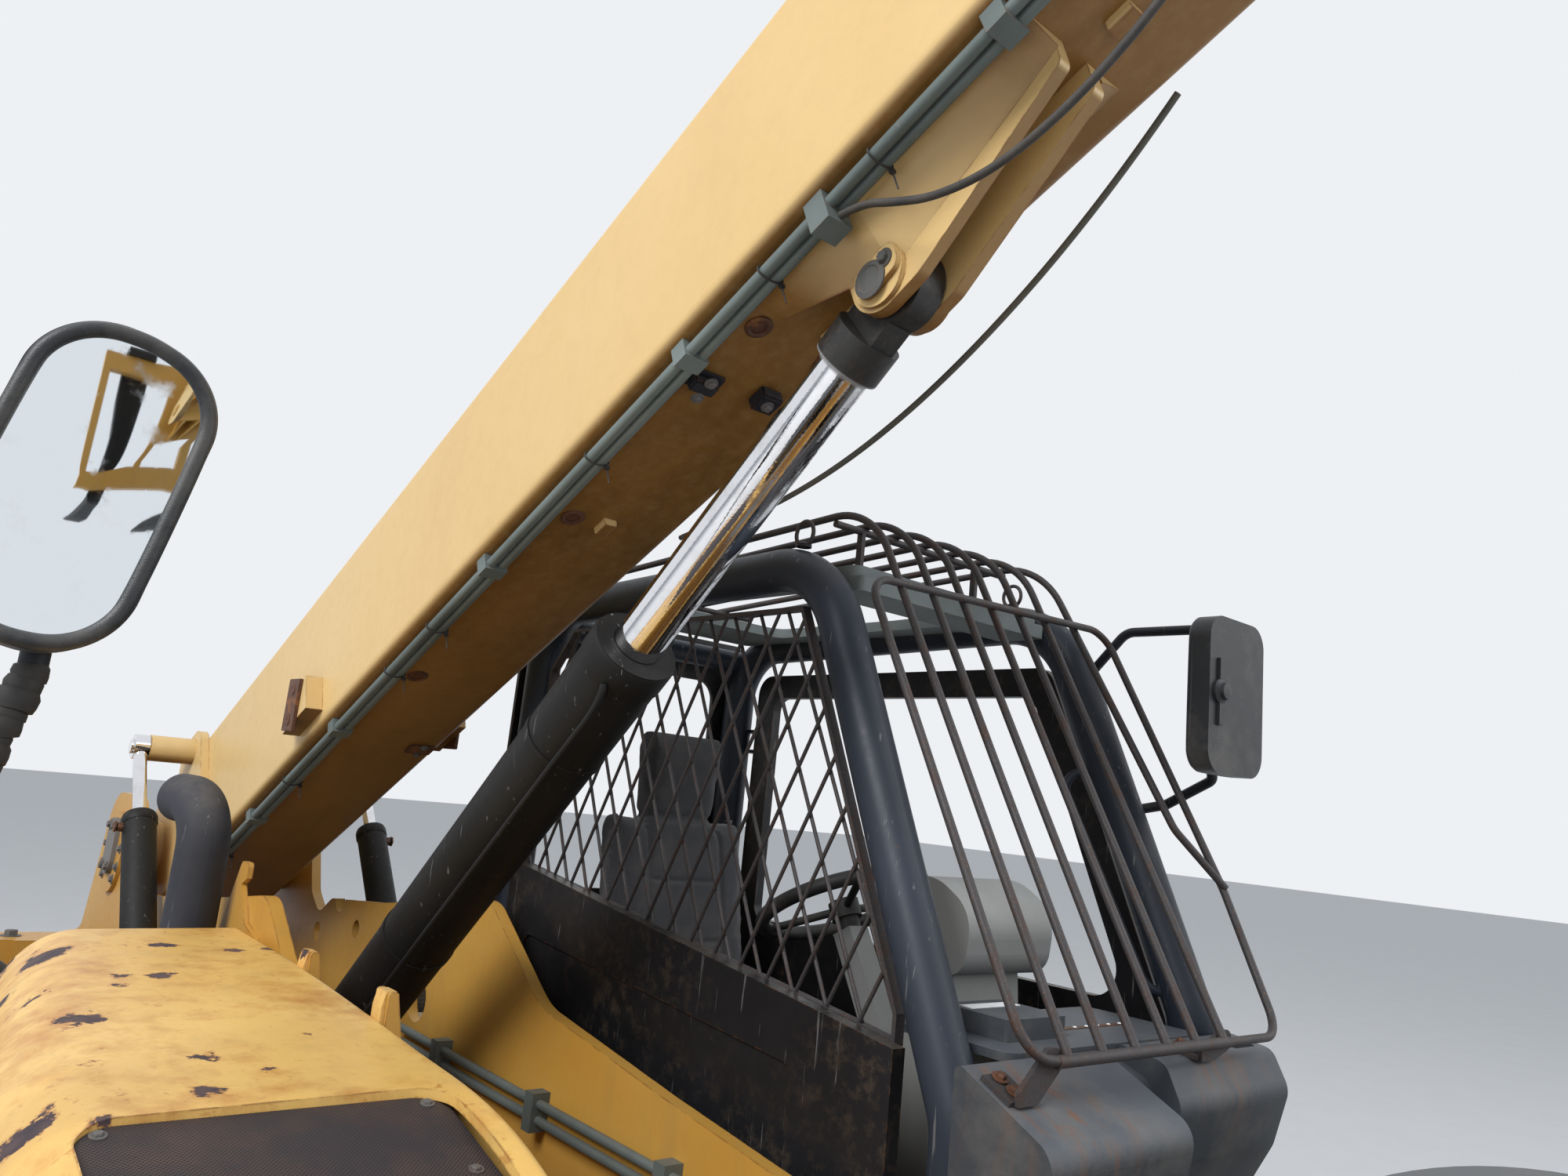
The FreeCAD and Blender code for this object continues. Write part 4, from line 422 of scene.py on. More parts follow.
FINISH = {
    "boom_outer": "boom_yellow", "boom_mid": "boom_yellow", "boom_fly": "boom_yellow",
    "boom_head": "boom_yellow", "hood_grille": "perforated", "cable_left": "grey_rubber", "cable_right": "cable_rubber",
    "main_frame": "frame_yellow_painted_shade",
    "counterweight": "frame_yellow_painted_shade", "carriage": "frame_yellow_painted_shade", "engine_pod": "frame_yellow_painted_shade",
    "engine_hood": "hood_yellow", "hydraulic_tank": "frame_yellow_painted_shade", "cab_frame": "tube_black",
    "cab_side_panel": "panel_black", "cab_rear_panel": "panel_black", "cab_base": "panel_black",
    "cab_door": "panel_black", "cab_floor": "black", "cab_roof": "roof_grey", "cab_cowl": "cowl_plastic",
    "dash": "dash_plastic", "fenders": "fender_plastic", "lift_barrel": "satin_black", "level_barrels": "satin_black",
    "tilt_barrel": "satin_black", "lift_rod": "greased_chrome", "level_rods": "chrome", "tilt_rod": "chrome",
    "cab_guard": "rusty_rod", "cab_side_mesh": "rusty_rod", "exhaust": "exhaust_black", "forks": "satin_black",
    "boom_pipes": "pipe_steel", "frame_pipes": "pipe_steel", "boom_pivot_pin": "pin_steel",
    "engine_block": "engine", "steering_wheel": "wheel_plastic", "seat_cushion": "seat_cloth",
    "seat_back": "seat_cloth", "mirror_left": "mirror_plastic", "mirror_right": "mirror_plastic",
}
for name, node in NODES.items():
    kind = "tyre" if name.startswith("tyre") else "rim_yellow" if name.startswith("rim") else FINISH.get(name, "black")
    node.data.materials.clear()
    node.data.materials.append(MATERIALS[kind])


# Pieces


def new_object(name, data):
    thing = bpy.data.objects.new(name, data)
    bpy.context.scene.collection.objects.link(thing)
    return thing


def settle(piece, body, kind):
    """Gives a new object its material and the body that it rides on."""
    piece.data.materials.clear()
    piece.data.materials.append(MATERIALS[kind])
    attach(piece, body)
    return piece


def mesh_piece(name, bm, body, kind):
    bmesh.ops.recalc_face_normals(bm, faces=bm.faces)
    mesh = bpy.data.meshes.new(name)
    bm.to_mesh(mesh)
    bm.free()
    mesh.set_sharp_from_angle(angle=math.radians(35))
    return settle(new_object(name, mesh), body, kind)


def basis(place, direction, spin=0.0):
    """A matrix whose Z is the direction, at a place."""
    turn = Vector(direction).to_track_quat("Z", "Y").to_matrix().to_4x4()
    return Matrix.Translation(place) @ turn @ Matrix.Rotation(spin, 4, "Z")


def lathe(bm, frame_, outline, sides=24):
    """Turns rings of (radius, height) in millimetres about a frame's Z; each end closes on its axis."""
    rings = []
    for radius, height in outline:
        if radius == 0:
            rings.append([bm.verts.new(frame_ @ Vector((0, 0, height / 1000)))])
            continue
        rings.append([bm.verts.new(frame_ @ Vector((radius / 1000 * math.cos(2 * math.pi * i / sides),
                                                    radius / 1000 * math.sin(2 * math.pi * i / sides),
                                                    height / 1000))) for i in range(sides)])
    for low, high in zip(rings, rings[1:]):
        for i in range(sides):
            j = (i + 1) % sides
            loop = [low[i % len(low)], low[j % len(low)], high[j % len(high)], high[i % len(high)]]
            bm.faces.new(list(dict.fromkeys(loop)))


def hex_head(bm, frame_, across, height):
    """A hexagon head with a chamfer, on a washer."""
    lathe(bm, frame_, [(0, 0), (across * 0.92, 0), (across * 0.92, 2.6), (0, 2.6)], 20)
    r = across * 0.577
    lathe(bm, frame_, [(0, 2.6), (r, 2.6), (r, height - 1.5), (r * 0.86, height), (0, height)], 6)


def bolts(name, body, places, direction, across, height):
    bm = bmesh.new()
    for index, place in enumerate(places):
        hex_head(bm, basis(place, direction, 0.7 * index), across, height)
    mesh_piece(name, bm, body, "bolt_steel")


def slab(bm, frame_, x, y, z, bevel=1.5):
    """A block from three (low, high) pairs in millimetres in a frame, with rounded edges."""
    low = Vector((x[0], y[0], z[0])) / 1000
    high = Vector((x[1], y[1], z[1])) / 1000
    size = high - low
    made = bmesh.ops.create_cube(bm, size=1.0)["verts"]
    bmesh.ops.transform(bm, verts=made, matrix=frame_ @ Matrix.Translation((low + high) / 2)
                        @ Matrix.Diagonal((*size, 1)))
    edges = list({edge for vert in made for edge in vert.link_edges})
    bmesh.ops.bevel(bm, geom=edges, offset=min(bevel / 1000, min(size) * 0.4), segments=2, affect="EDGES")


def rod(name, points, radius, body, kind, closed=False):
    """A round wire along a NURBS line."""
    curve = bpy.data.curves.new(name, "CURVE")
    curve.dimensions = "3D"
    spline = curve.splines.new("NURBS")
    spline.points.add(len(points) - 1)
    for knot, place in zip(spline.points, points):
        knot.co = (*place, 1)
    spline.order_u = 3
    spline.use_cyclic_u = closed
    spline.use_endpoint_u = not closed
    spline.resolution_u = 10
    curve.bevel_depth = radius / 1000
    curve.bevel_resolution = 3
    curve.use_fill_caps = not closed
    return settle(new_object(name, curve), body, kind)


def ring(name, centre, direction, across, thick, body, kind, squash=1.0):
    """A closed loop of round wire."""
    frame_ = basis(centre, direction)
    points = [frame_ @ Vector((across / 2000 * math.cos(a), squash * across / 2000 * math.sin(a), 0))
              for a in (2 * math.pi * i / 12 for i in range(12))]
    return rod(name, points, thick / 2, body, kind, True)


# Cables under the boom: along the boom, across and above its centre line

CABLE_LEFT = [(2542, 186, -200), (2595, 186, -214), (2665, 186, -252), (2777, 186, -289), (2915, 186, -321),
              (3055, 186, -338), (3200, 186, -340), (3345, 186, -327), (3490, 186, -301), (3615, 186, -267),
              (3720, 186, -231), (3787, 186, -204)]
CABLE_RIGHT = [(3388.5, -132, -246), (3430, -131, -262), (3475, -128, -305), (3535, -122, -352), (3625, -113, -384),
               (3735, -104, -385), (3850, -97, -362), (3960, -93, -322), (4060, -92, -275), (4145, -94, -232),
               (4196.5, -96, -213)]


def make_cables():
    for hand, points, diameter, length, kind in (("left", CABLE_LEFT, 11, 1.285, "grey_rubber"),
                                                 ("right", CABLE_RIGHT, 12, 0.882, "cable_rubber")):
        route = [on_boom(*point) for point in points]
        piece = rod(f"cord_{hand}", route, diameter / 2, "boom", kind)
        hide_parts(f"cable_{hand}")


# Seat

PAD_VOXEL = 0.0075
PAD_SHRINK = 0.008
PAD_CAP = 0.016
CLOTH_FRAMES = 20


def evaluated(piece):
    graph = bpy.context.evaluated_depsgraph_get()
    return bpy.data.meshes.new_from_object(piece.evaluated_get(graph))


def make_pad(name, node, seams):
    """A cushion swollen from its solid: remeshed, inflated as cloth, its stitched channels pressed in."""
    piece = new_object(name, NODES[node].data.copy())
    remesh = piece.modifiers.new("remesh", "REMESH")
    remesh.mode = "VOXEL"
    remesh.voxel_size = PAD_VOXEL
    mesh = evaluated(piece)
    piece.modifiers.clear()
    piece.data = mesh
    normals = [vert.normal.copy() for vert in mesh.vertices]
    for vert, normal in zip(mesh.vertices, normals):
        vert.co -= normal * PAD_SHRINK
    start = [vert.co.copy() for vert in mesh.vertices]
    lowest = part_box(node)[0].z
    scene = bpy.context.scene
    cloth_ = piece.modifiers.new("cloth", "CLOTH")
    cloth_.settings.use_pressure = True
    cloth_.settings.uniform_pressure_force = 4
    cloth_.settings.effector_weights.gravity = 0
    cloth_.settings.quality = 4
    for number in range(1, CLOTH_FRAMES + 1):
        scene.frame_set(number)
    swollen = evaluated(piece)
    piece.modifiers.clear()
    piece.data = mesh = swollen
    scene.frame_set(1)
    for vert, before in zip(mesh.vertices, start):
        step = vert.co - before
        if step.length > PAD_CAP:
            vert.co = before + step.normalized() * PAD_CAP
        vert.co.z = max(vert.co.z, lowest)
    smooth = piece.modifiers.new("smooth", "SMOOTH")
    smooth.factor = 0.5
    smooth.iterations = 4
    finer = piece.modifiers.new("finer", "SUBSURF")
    finer.levels = 1
    mesh = evaluated(piece)
    piece.modifiers.clear()
    piece.data = mesh
    normals = [vert.normal.copy() for vert in mesh.vertices]
    for vert, normal in zip(mesh.vertices, normals):
        local = Vector(((vert.co.x * 1000) - SHIFT, vert.co.y * 1000, vert.co.z * 1000))
        depth = max(seam(local, normal) for seam in seams)
        vert.co -= normal * depth / 1000
    mesh.shade_smooth()
    settle(piece, "chassis", "seat_cloth")
    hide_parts(node)


def dent(gap, depth=6.0, width=7.0):
    return depth * math.exp(-(gap / width) ** 2)


def make_seat():
    """Seams run fore and aft on the cushion and up the backrest, and round the headrest's foot."""
    def upward(p, n):
        return n.z > 0.35 and 1650 < p.x < 2035

    def ahead(p, n):
        return n.x > 0.3 and p.z < 1850

    make_pad("seat_pad", "seat_cushion", [
        lambda p, n: dent(p.y - 610) if upward(p, n) else 0,
        lambda p, n: dent(p.y - 870) if upward(p, n) else 0,
        lambda p, n: dent(p.x - 1905, 5) if upward(p, n) and 610 < p.y < 870 else 0,
        lambda p, n: dent(p.x - 1780, 5) if upward(p, n) and 610 < p.y < 870 else 0,
        lambda p, n: dent(p.z - 1345, 3, 5) if abs(n.z) < 0.6 else 0])
    make_pad("seat_rest", "seat_back", [
        lambda p, n: dent(p.y - 622) if ahead(p, n) else 0,
        lambda p, n: dent(p.y - 858) if ahead(p, n) else 0,
        lambda p, n: dent(p.z - 1560, 5) if ahead(p, n) and 622 < p.y < 858 else 0,
        lambda p, n: dent(p.z - 1715, 5) if ahead(p, n) and 622 < p.y < 858 else 0,
        lambda p, n: dent(p.z - 1880, 8, 9) if p.z > 1850 else 0])


# Mirrors

def outline_points(wide, high, radius, steps=10):
    """A rounded rectangle's points, half sizes and radius in millimetres."""
    points = []
    for cx, cy, turn in ((1, 1, 0), (-1, 1, 90), (-1, -1, 180), (1, -1, 270)):
        for i in range(steps + 1):
            a = math.radians(turn + 90 * i / steps)
            points.append((cx * (wide - radius) + radius * math.cos(a), cy * (high - radius) + radius * math.sin(a)))
    return points


def make_mirror_glass(name, frame_, wide, high, radius, rim):
    """A slightly crowned pane inside a rounded rim; the frame's Z points out of the glass."""
    bm = bmesh.new()
    rings = []
    for share in (1, 0.8, 0.6, 0.4, 0.2):
        rings.append([bm.verts.new(frame_ @ Vector((x * share / 1000, y * share / 1000, 0.004 * (1 - share ** 2))))
                      for x, y in outline_points(wide - rim, high - rim, radius - rim)])
    middle = bm.verts.new(frame_ @ Vector((0, 0, 0.004)))
    count = len(rings[0])
    for outer, inner in zip(rings, rings[1:]):
        for i in range(count):
            bm.faces.new([outer[i], outer[(i + 1) % count], inner[(i + 1) % count], inner[i]])
    for i in range(count):
        bm.faces.new([rings[-1][i], rings[-1][(i + 1) % count], middle])
    back = [bm.verts.new(vert.co - frame_.to_3x3() @ Vector((0, 0, 0.003))) for vert in rings[0]]
    for i in range(count):
        bm.faces.new([rings[0][(i + 1) % count], rings[0][i], back[i], back[(i + 1) % count]])
    bm.faces.new(back)
    mesh_piece(f"{name}_glass", bm, "chassis", "glass")
    edge = [frame_ @ Vector((x / 1000, y / 1000, -0.001)) for x, y in outline_points(wide - 9, high - 9, radius - 9, 4)]
    rod(f"{name}_rim", edge, 10, "chassis", "mirror_plastic", True)


def make_mirrors():
    tilt = Matrix.Rotation(math.radians(-12), 4, "X")
    facing_front = Matrix(((0, 0, 1, 0), (1, 0, 0, 0), (0, 1, 0, 0), (0, 0, 0, 1)))
    facing_rear = Matrix(((0, 0, -1, 0), (-1, 0, 0, 0), (0, 1, 0, 0), (0, 0, 0, 1)))
    right = Matrix.Translation(at(2665, -931, 2234)) @ tilt @ facing_front @ Matrix.Translation((0, 0, 0.0245))
    make_mirror_glass("mirror_right", right, 108, 200, 95, 16)
    left = Matrix.Translation(at(2993, 1150, 2259)) @ facing_rear @ Matrix.Translation((0, 0, 0.0225))
    make_mirror_glass("mirror_left", left, 113, 165, 50, 14)
    bm = bmesh.new()
    lathe(bm, basis(at(3015, 1075, 2262), (1, 0, 0)), [(0, -2), (26, -2), (26, 6), (19, 12), (17, 20), (0, 22)])
    slab(bm, basis(at(3015, 1075, 2262), (1, 0, 0)), (-9, 9), (-70, 70), (-2, 7))
    mesh_piece("mirror_left_clamp", bm, "chassis", "mirror_plastic")
    bm = bmesh.new()
    rng = random.Random(5)
    low, high = at(2624.7, -969, 1882), at(2624.7, -932, 2010)
    for i in range(9):
        place = low.lerp(high, i / 8)
        lean = Vector((rng.uniform(-0.18, 0.18), rng.uniform(-0.18, 0.18), 1))
        r = 19 + rng.uniform(0, 7)
        lathe(bm, basis(place, lean), [(14, -13), (r - 2, -12), (r, -5), (r + 1, 5), (r - 2, 12), (14, 13)])
    mesh_piece("mirror_tape", bm, "chassis", "tape")


# Boom fittings

def make_boom_fittings():
    up = on_boom(0, 0, 1) - on_boom(0, 0, 0)
    along = on_boom(1, 0, 0) - on_boom(0, 0, 0)
    for index, place in enumerate((640, 1190, 1840, 2060, 2720, 3230, 3480, 4060)):
        ring(f"pipe_tie_{index}", on_boom(place, -132, -222), along, 52, 3.4, "boom", "tape", 0.52)
        bm = bmesh.new()
        slab(bm, basis(on_boom(place, -112, -236), along), (-5, 5), (-4, 4), (-4, 4))
        lathe(bm, basis(on_boom(place, -112, -238), -up), [(0, 0), (1.6, 0), (1.3, 34), (0, 34)], 6)
        mesh_piece(f"pipe_tie_tail_{index}", bm, "boom", "tape")
    bm = bmesh.new()
    for place, side in ((3117, -60), (2516, -60), (1800, -60)):
        lathe(bm, basis(on_boom(place, side, BOOM_BELOW), -up),
              [(24, -1), (24, 3), (19, 5), (14, 3), (14, 1), (9, 1.5), (0, 2)])
    mesh_piece("boom_plugs", bm, "boom", "rusty_plate")
    bm = bmesh.new()
    turned = basis(on_boom(2971, -72, BOOM_BELOW), -up)
    slab(bm, turned, (-38, 38), (-20, 20), (0, 10))
    slab(bm, turned, (-26, 26), (-14, 14), (10, 30), 4)
    slab(bm, basis(on_boom(2985, 60, BOOM_BELOW), -up), (-24, 24), (-22, 22), (0, 26), 4)
    mesh_piece("boom_clamps", bm, "boom", "black")
    bolts("boom_clamp_bolts", "boom", [on_boom(2950, -72, -230), on_boom(2992, -72, -230), on_boom(2985, 60, -226)],
          -up, 13, 9)
    bm = bmesh.new()
    slab(bm, basis(on_boom(1416, 120, BOOM_BELOW), -up), (-34, 34), (-22, 22), (0, 7))
    mesh_piece("boom_tag_plate", bm, "boom", "rusty_plate")
    bolts("boom_tag_bolts", "boom", [on_boom(1394, 120, -207), on_boom(1438, 120, -207)], -up, 12, 7)
    for hand in (-1, 1):
        bm = bmesh.new()
        turned = basis(on_boom(1420, hand * 212, -120), (0, hand, 0))
        slab(bm, turned, (-40, 40), (-66, 66), (0, 9))
        for offset in (-38, 38):
            lathe(bm, turned @ Matrix.Translation((0, offset / 1000, 0.009)),
                  [(14, 0), (14, 1.5), (9, 1.5), (8, 0.4), (0, 0.4)])
        mesh_piece(f"boom_stop_pad_{'left' if hand > 0 else 'right'}", bm, "boom", "rusty_plate")
    name = "wear_pad_bolts"
    bolts(f"{name}_top", "boom", [on_boom(p, y, 214) for p in (4880, 4950) for y in (-120, -40, 40, 120)], up, 22, 13)
    for hand in (-1, 1):
        bolts(f"{name}_{'left' if hand > 0 else 'right'}", "boom",
              [on_boom(p, hand * 184, z) for p in (4880, 4950) for z in (-130, -45, 45, 130)], (0, hand, 0), 22, 13)
        bm = bmesh.new()
        lathe(bm, basis(on_boom(3360, hand * 67, -318), (0, hand, 0)),
              [(30, 0), (30, 3), (22, 5), (20, 3), (12, 3), (0, 4)])
        hex_head(bm, basis(on_boom(3395, hand * 67, -305), (0, hand, 0)), 16, 10)
        mesh_piece(f"lift_keeper_{'left' if hand > 0 else 'right'}", bm, "boom", "keeper_steel")


# Hydraulic fittings

def make_fittings():
    foot, eye = at(*LEVEL_FOOT), at(*LEVEL_EYE)
    aim = (eye - foot).normalized()
    bm = bmesh.new()
    for hand in (-1, 1):
        for place in (0.108, 0.630):
            seat = foot + aim * place + Vector((0, hand * 0.389, 0))
            turned = basis(seat, (0, hand, 0))
            lathe(bm, turned, [(15, 0), (15, 12), (12, 14)], 6)
            lathe(bm, turned, [(0, 13), (10, 13), (10, 18), (17, 18), (17, 22), (0, 22)], 6)
    mesh_piece("level_fittings", bm, "level_tubes", "rusty_plate")
    bm = bmesh.new()
    for hand in (-1, 1):
        gland = foot + aim * 0.668 + Vector((0, hand * 0.345, 0))
        lathe(bm, basis(gland, aim), [(21, -30), (46.5, -30), (48, -26), (48, -6), (44, 0), (22, 0)], 32)
    mesh_piece("level_glands", bm, "level_tubes", "satin_black")
    foot, eye = at(*LIFT_FOOT), on_boom(*LIFT_EYE)
    aim = (eye - foot).normalized()
    bm = bmesh.new()
    lathe(bm, basis(foot + aim * 2.43, aim),
          [(48.5, -60), (84.5, -60), (86, -56), (86, -8), (82, -1), (60, 1), (49, 1)], 48)
    mesh_piece("lift_gland", bm, "lift_tube", "satin_black")
    side = Vector((0, -1, 0))
    out = aim.cross(side).normalized()
    run = [foot + aim * a + side * 0.060 * s + out * o for a, s, o in
           ((0.30, 1, 0.075), (0.9, 1, 0.082), (1.6, 1, 0.082), (2.2, 1, 0.082), (2.36, 1, 0.086), (2.38, 1, 0.062))]
    rod("lift_port_pipe", run, 7, "lift_tube", "satin_black")
    bm = bmesh.new()
    for a in (0.7, 1.45, 2.15):
        lathe(bm, basis(foot + aim * a, aim), [(83.5, -9), (85.5, -9), (85.5, 9), (83.5, 9)], 48)
    mesh_piece("lift_pipe_bands", bm, "lift_tube", "satin_black")


# Engine hood: its solid's sections, with a blunt nose and the grille's opening cut through the sheet

# place along X, outer side, top, fall of the shoulder and its lower radius
HOOD_STATIONS = [(1449, 800, 1553, 190, 120), (1900, 860, 1545, 190, 120), (2450, 930, 1520, 190, 120),
                 (2780, 930, 1495, 190, 120), (3080, 890, 1400, 108, 90)]
HOOD_FLOOR = 1244


def rounded_line(points, steps=10):
    """Lines and arcs through the points; a corner is (y, z) or (y, z, radius)."""
    line = []
    for i, corner in enumerate(points):
        here = Vector(corner[:2])
        if len(corner) < 3:
            line.append(here)
            continue
        before = (Vector(points[i - 1][:2]) - here).normalized()
        after = (Vector(points[(i + 1) % len(points)][:2]) - here).normalized()
        half = before.angle(after) / 2
        centre = here + (before + after).normalized() * (corner[2] / math.sin(half))
        start = here + before * (corner[2] / math.tan(half)) - centre
        end = here + after * (corner[2] / math.tan(half)) - centre
        line += [centre + start.lerp(end, k / steps).normalized() * corner[2] for k in range(steps + 1)]
    return line


def between(table, column, x):
    """A smooth value from a table of stations."""
    xs = [row[0] for row in table]
    ys = [row[column] for row in table]
    slopes = []
    for i in range(len(xs)):
        low, high = max(i - 1, 0), min(i + 1, len(xs) - 1)
        slopes.append((ys[high] - ys[low]) / (xs[high] - xs[low]))
    i = max(k for k in range(len(xs) - 1) if xs[k] <= x)
    run = xs[i + 1] - xs[i]
    u = (x - xs[i]) / run
    return ((2 * u ** 3 - 3 * u ** 2 + 1) * ys[i] + (u ** 3 - 2 * u ** 2 + u) * run * slopes[i]
            + (3 * u ** 2 - 2 * u ** 3) * ys[i + 1] + (u ** 3 - u ** 2) * run * slopes[i + 1])


def make_hood():
    bm = bmesh.new()
    rows = []
    for k in range(41):
        x = min(1449 + (3080 - 1449) * k / 40, 3079.9)
        outer, top, fall, bend = (between(HOOD_STATIONS, column, x) for column in (1, 2, 3, 4))
        section = rounded_line([(-300, HOOD_FLOOR), (-300, top, 20), (-outer + 110, top - 4, 130),
                                (-outer, top - fall, bend), (-outer, HOOD_FLOOR)])
        rows.append([bm.verts.new(at(x, y, z)) for y, z in section])
    for low, high in zip(rows, rows[1:]):
        for j in range(len(low) - 1):
            bm.faces.new([low[j], low[j + 1], high[j + 1], high[j]])
    bm.faces.new(rows[0])
    bm.faces.new(list(reversed(rows[-1])))
    bmesh.ops.recalc_face_normals(bm, faces=bm.faces)
    top = max(bm.faces, key=lambda face: face.calc_center_median().z)
    if top.normal.z < 0:
        bmesh.ops.reverse_faces(bm, faces=bm.faces)
    cutter_mesh = bpy.data.meshes.new("hood_cutter")
    cut = bmesh.new()
    plan = rounded_line([(2640, -800, 50), (3010, -800, 50), (3010, -345, 50), (2640, -345, 50)])
    foot = [cut.verts.new(at(x, y, 1380)) for x, y in plan]
    head = [cut.verts.new(at(x, y, 1600)) for x, y in plan]
    for i in range(len(plan)):
        cut.faces.new([foot[i], foot[(i + 1) % len(plan)], head[(i + 1) % len(plan)], head[i]])
    cut.faces.new(list(reversed(foot)))
    cut.faces.new(head)
    bmesh.ops.recalc_face_normals(cut, faces=cut.faces)
    cut.to_mesh(cutter_mesh)
    cut.free()
    cutter = new_object("hood_cutter", cutter_mesh)
    mesh = bpy.data.meshes.new("hood_skin")
    bm.to_mesh(mesh)
    bm.free()
    piece = new_object("hood_skin", mesh)
    wall = piece.modifiers.new("wall", "SOLIDIFY")
    wall.thickness = 0.014
    wall.offset = -1
    opening = piece.modifiers.new("opening", "BOOLEAN")
    opening.operation = "DIFFERENCE"
    opening.solver = "EXACT"
    opening.object = cutter
    mesh = evaluated(piece)
    piece.modifiers.clear()
    piece.data = mesh
    bpy.data.objects.remove(cutter)
    mesh.set_sharp_from_angle(angle=math.radians(40))
    settle(piece, "hood", "hood_yellow")
    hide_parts("engine_hood")
    bm = bmesh.new()
    for x in (1850, 2250):
        ear = [(-304, 1500), (-300, 1500), (-281, 1555), (-281, 1571), (-299, 1571), (-304, 1545)]
        near = [bm.verts.new(at(x, y, z)) for y, z in ear]
        far = [bm.verts.new(at(x + 40, y, z)) for y, z in ear]
        for i in range(len(ear)):
            bm.faces.new([near[i], near[(i + 1) % len(ear)], far[(i + 1) % len(ear)], far[i]])
        bm.faces.new(near)
        bm.faces.new(list(reversed(far)))
    mesh_piece("hood_ears", bm, "hood", "hood_yellow")
    bolts("grille_screws", "hood", [at(x, y, 1494 - 0.2216 * (x - 2640) + 4) for x in (2660, 2825, 2990)
                                    for y in (-772, -373)], (0.2164, 0, 0.9763), 11, 6)


# Cab and chassis details

def make_cab_details():
    for index, y in enumerate((397, 1103)):
        ring(f"lifting_eye_{index}", at(2440, y, 2490 + 22), (0, 1, 0), 56, 9, "chassis", "rusty_rod")
        bm = bmesh.new()
        lathe(bm, basis(at(2440, y, 2482), (0, 0, 1)), [(17, 0), (17, 7), (8, 11), (0, 12)])
        mesh_piece(f"lifting_eye_foot_{index}", bm, "chassis", "black")
    bm = bmesh.new()
    for y, seat in ((330, 1568), (850, 1583)):
        for x in (3066, 3094):
            drop = math.radians(25 if y == 330 else 7.6)
            place = at(x, y + 28, seat + 8 - (x - 3050) * math.tan(drop))
            hex_head(bm, basis(place, (math.sin(drop), 0, math.cos(drop))), 15, 9)
    mesh_piece("cowl_bracket_bolts", bm, "chassis", "rusty_plate")
    bm = bmesh.new()
    slab(bm, Matrix.Translation(at(0, 0, 0)), (2828, 2858), (535, 675), (1621.5, 1623.5), 0.5)
    mesh_piece("cowl_box_label", bm, "chassis", "pale_label")
    bm = bmesh.new()
    slab(bm, Matrix.Translation(at(0, 0, 0)), (2890, 2905), (700, 960), (1584.5, 1586.5), 0.5)
    mesh_piece("cowl_strip", bm, "chassis", "rusty_plate")
    bm = bmesh.new()
    for i in range(7):
        lathe(bm, basis(at(2897, 718 + i * 37, 1586.5), (0, 0, 1)), [(0, 0), (4, 0), (3, 1.6), (0, 1.8)], 12)
    mesh_piece("cowl_strip_studs", bm, "chassis", "pale_label")
    bm = bmesh.new()
    slab(bm, Matrix.Translation(at(0, 0, 0)), (2546, 2556), (640, 840), (1672, 1782), 4)
    mesh_piece("dash_panel", bm, "chassis", "wheel_plastic")
    bm = bmesh.new()
    needles = bmesh.new()
    for y, z, r in ((690, 1730, 32), (790, 1730, 32), (740, 1755, 15), (740, 1703, 15)):
        turned = basis(at(2546, y, z), (-1, 0, 0))
        lathe(bm, turned, [(0, 1), (r - 4, 1), (r - 4, 4), (r, 4), (r, 0)], 32)
        for i in range(9):
            a = math.radians(-120 + 30 * i)
            tick = turned @ Matrix.Rotation(a, 4, "Z")
            slab(needles, tick, (-0.7, 0.7), (r * 0.62, r * 0.8), (0.9, 1.6), 0.2)
        slab(needles, turned @ Matrix.Rotation(0.9, 4, "Z"), (-0.9, 0.9), (-2, r * 0.6), (1.2, 2.2), 0.3)
    mesh_piece("dash_dials", bm, "chassis", "dial")
    mesh_piece("dash_needles", needles, "chassis", "pale_label")
    bm = bmesh.new()
    for y in (655, 675, 805, 825):
        slab(bm, basis(at(2546, y, 1688), (-1, 0, 0)), (-8, 8), (-7, 7), (0, 5), 2)
    mesh_piece("dash_switches", bm, "chassis", "dial")
    bm = bmesh.new()
    for low, depth in ((760, 925), (600, 975)):
        for x in range(1775, 2330, 50):
            slab(bm, Matrix.Translation(at(0, 0, 0)), (x, x + 12), (depth + 15, 1136), (low, low + 7), 2)
    mesh_piece("step_ribs", bm, "chassis", "black")
    bolts("side_panel_bolts", "chassis", [at(x, 350, 985) for x in range(1500, 2651, 230)], (0, -1, 0), 13, 8)
    bolts("rear_panel_bolts", "chassis", [at(1310, y, z) for y in (385, 1105) for z in (1000, 1400, 1800, 2200)],
          (-1, 0, 0), 13, 8)


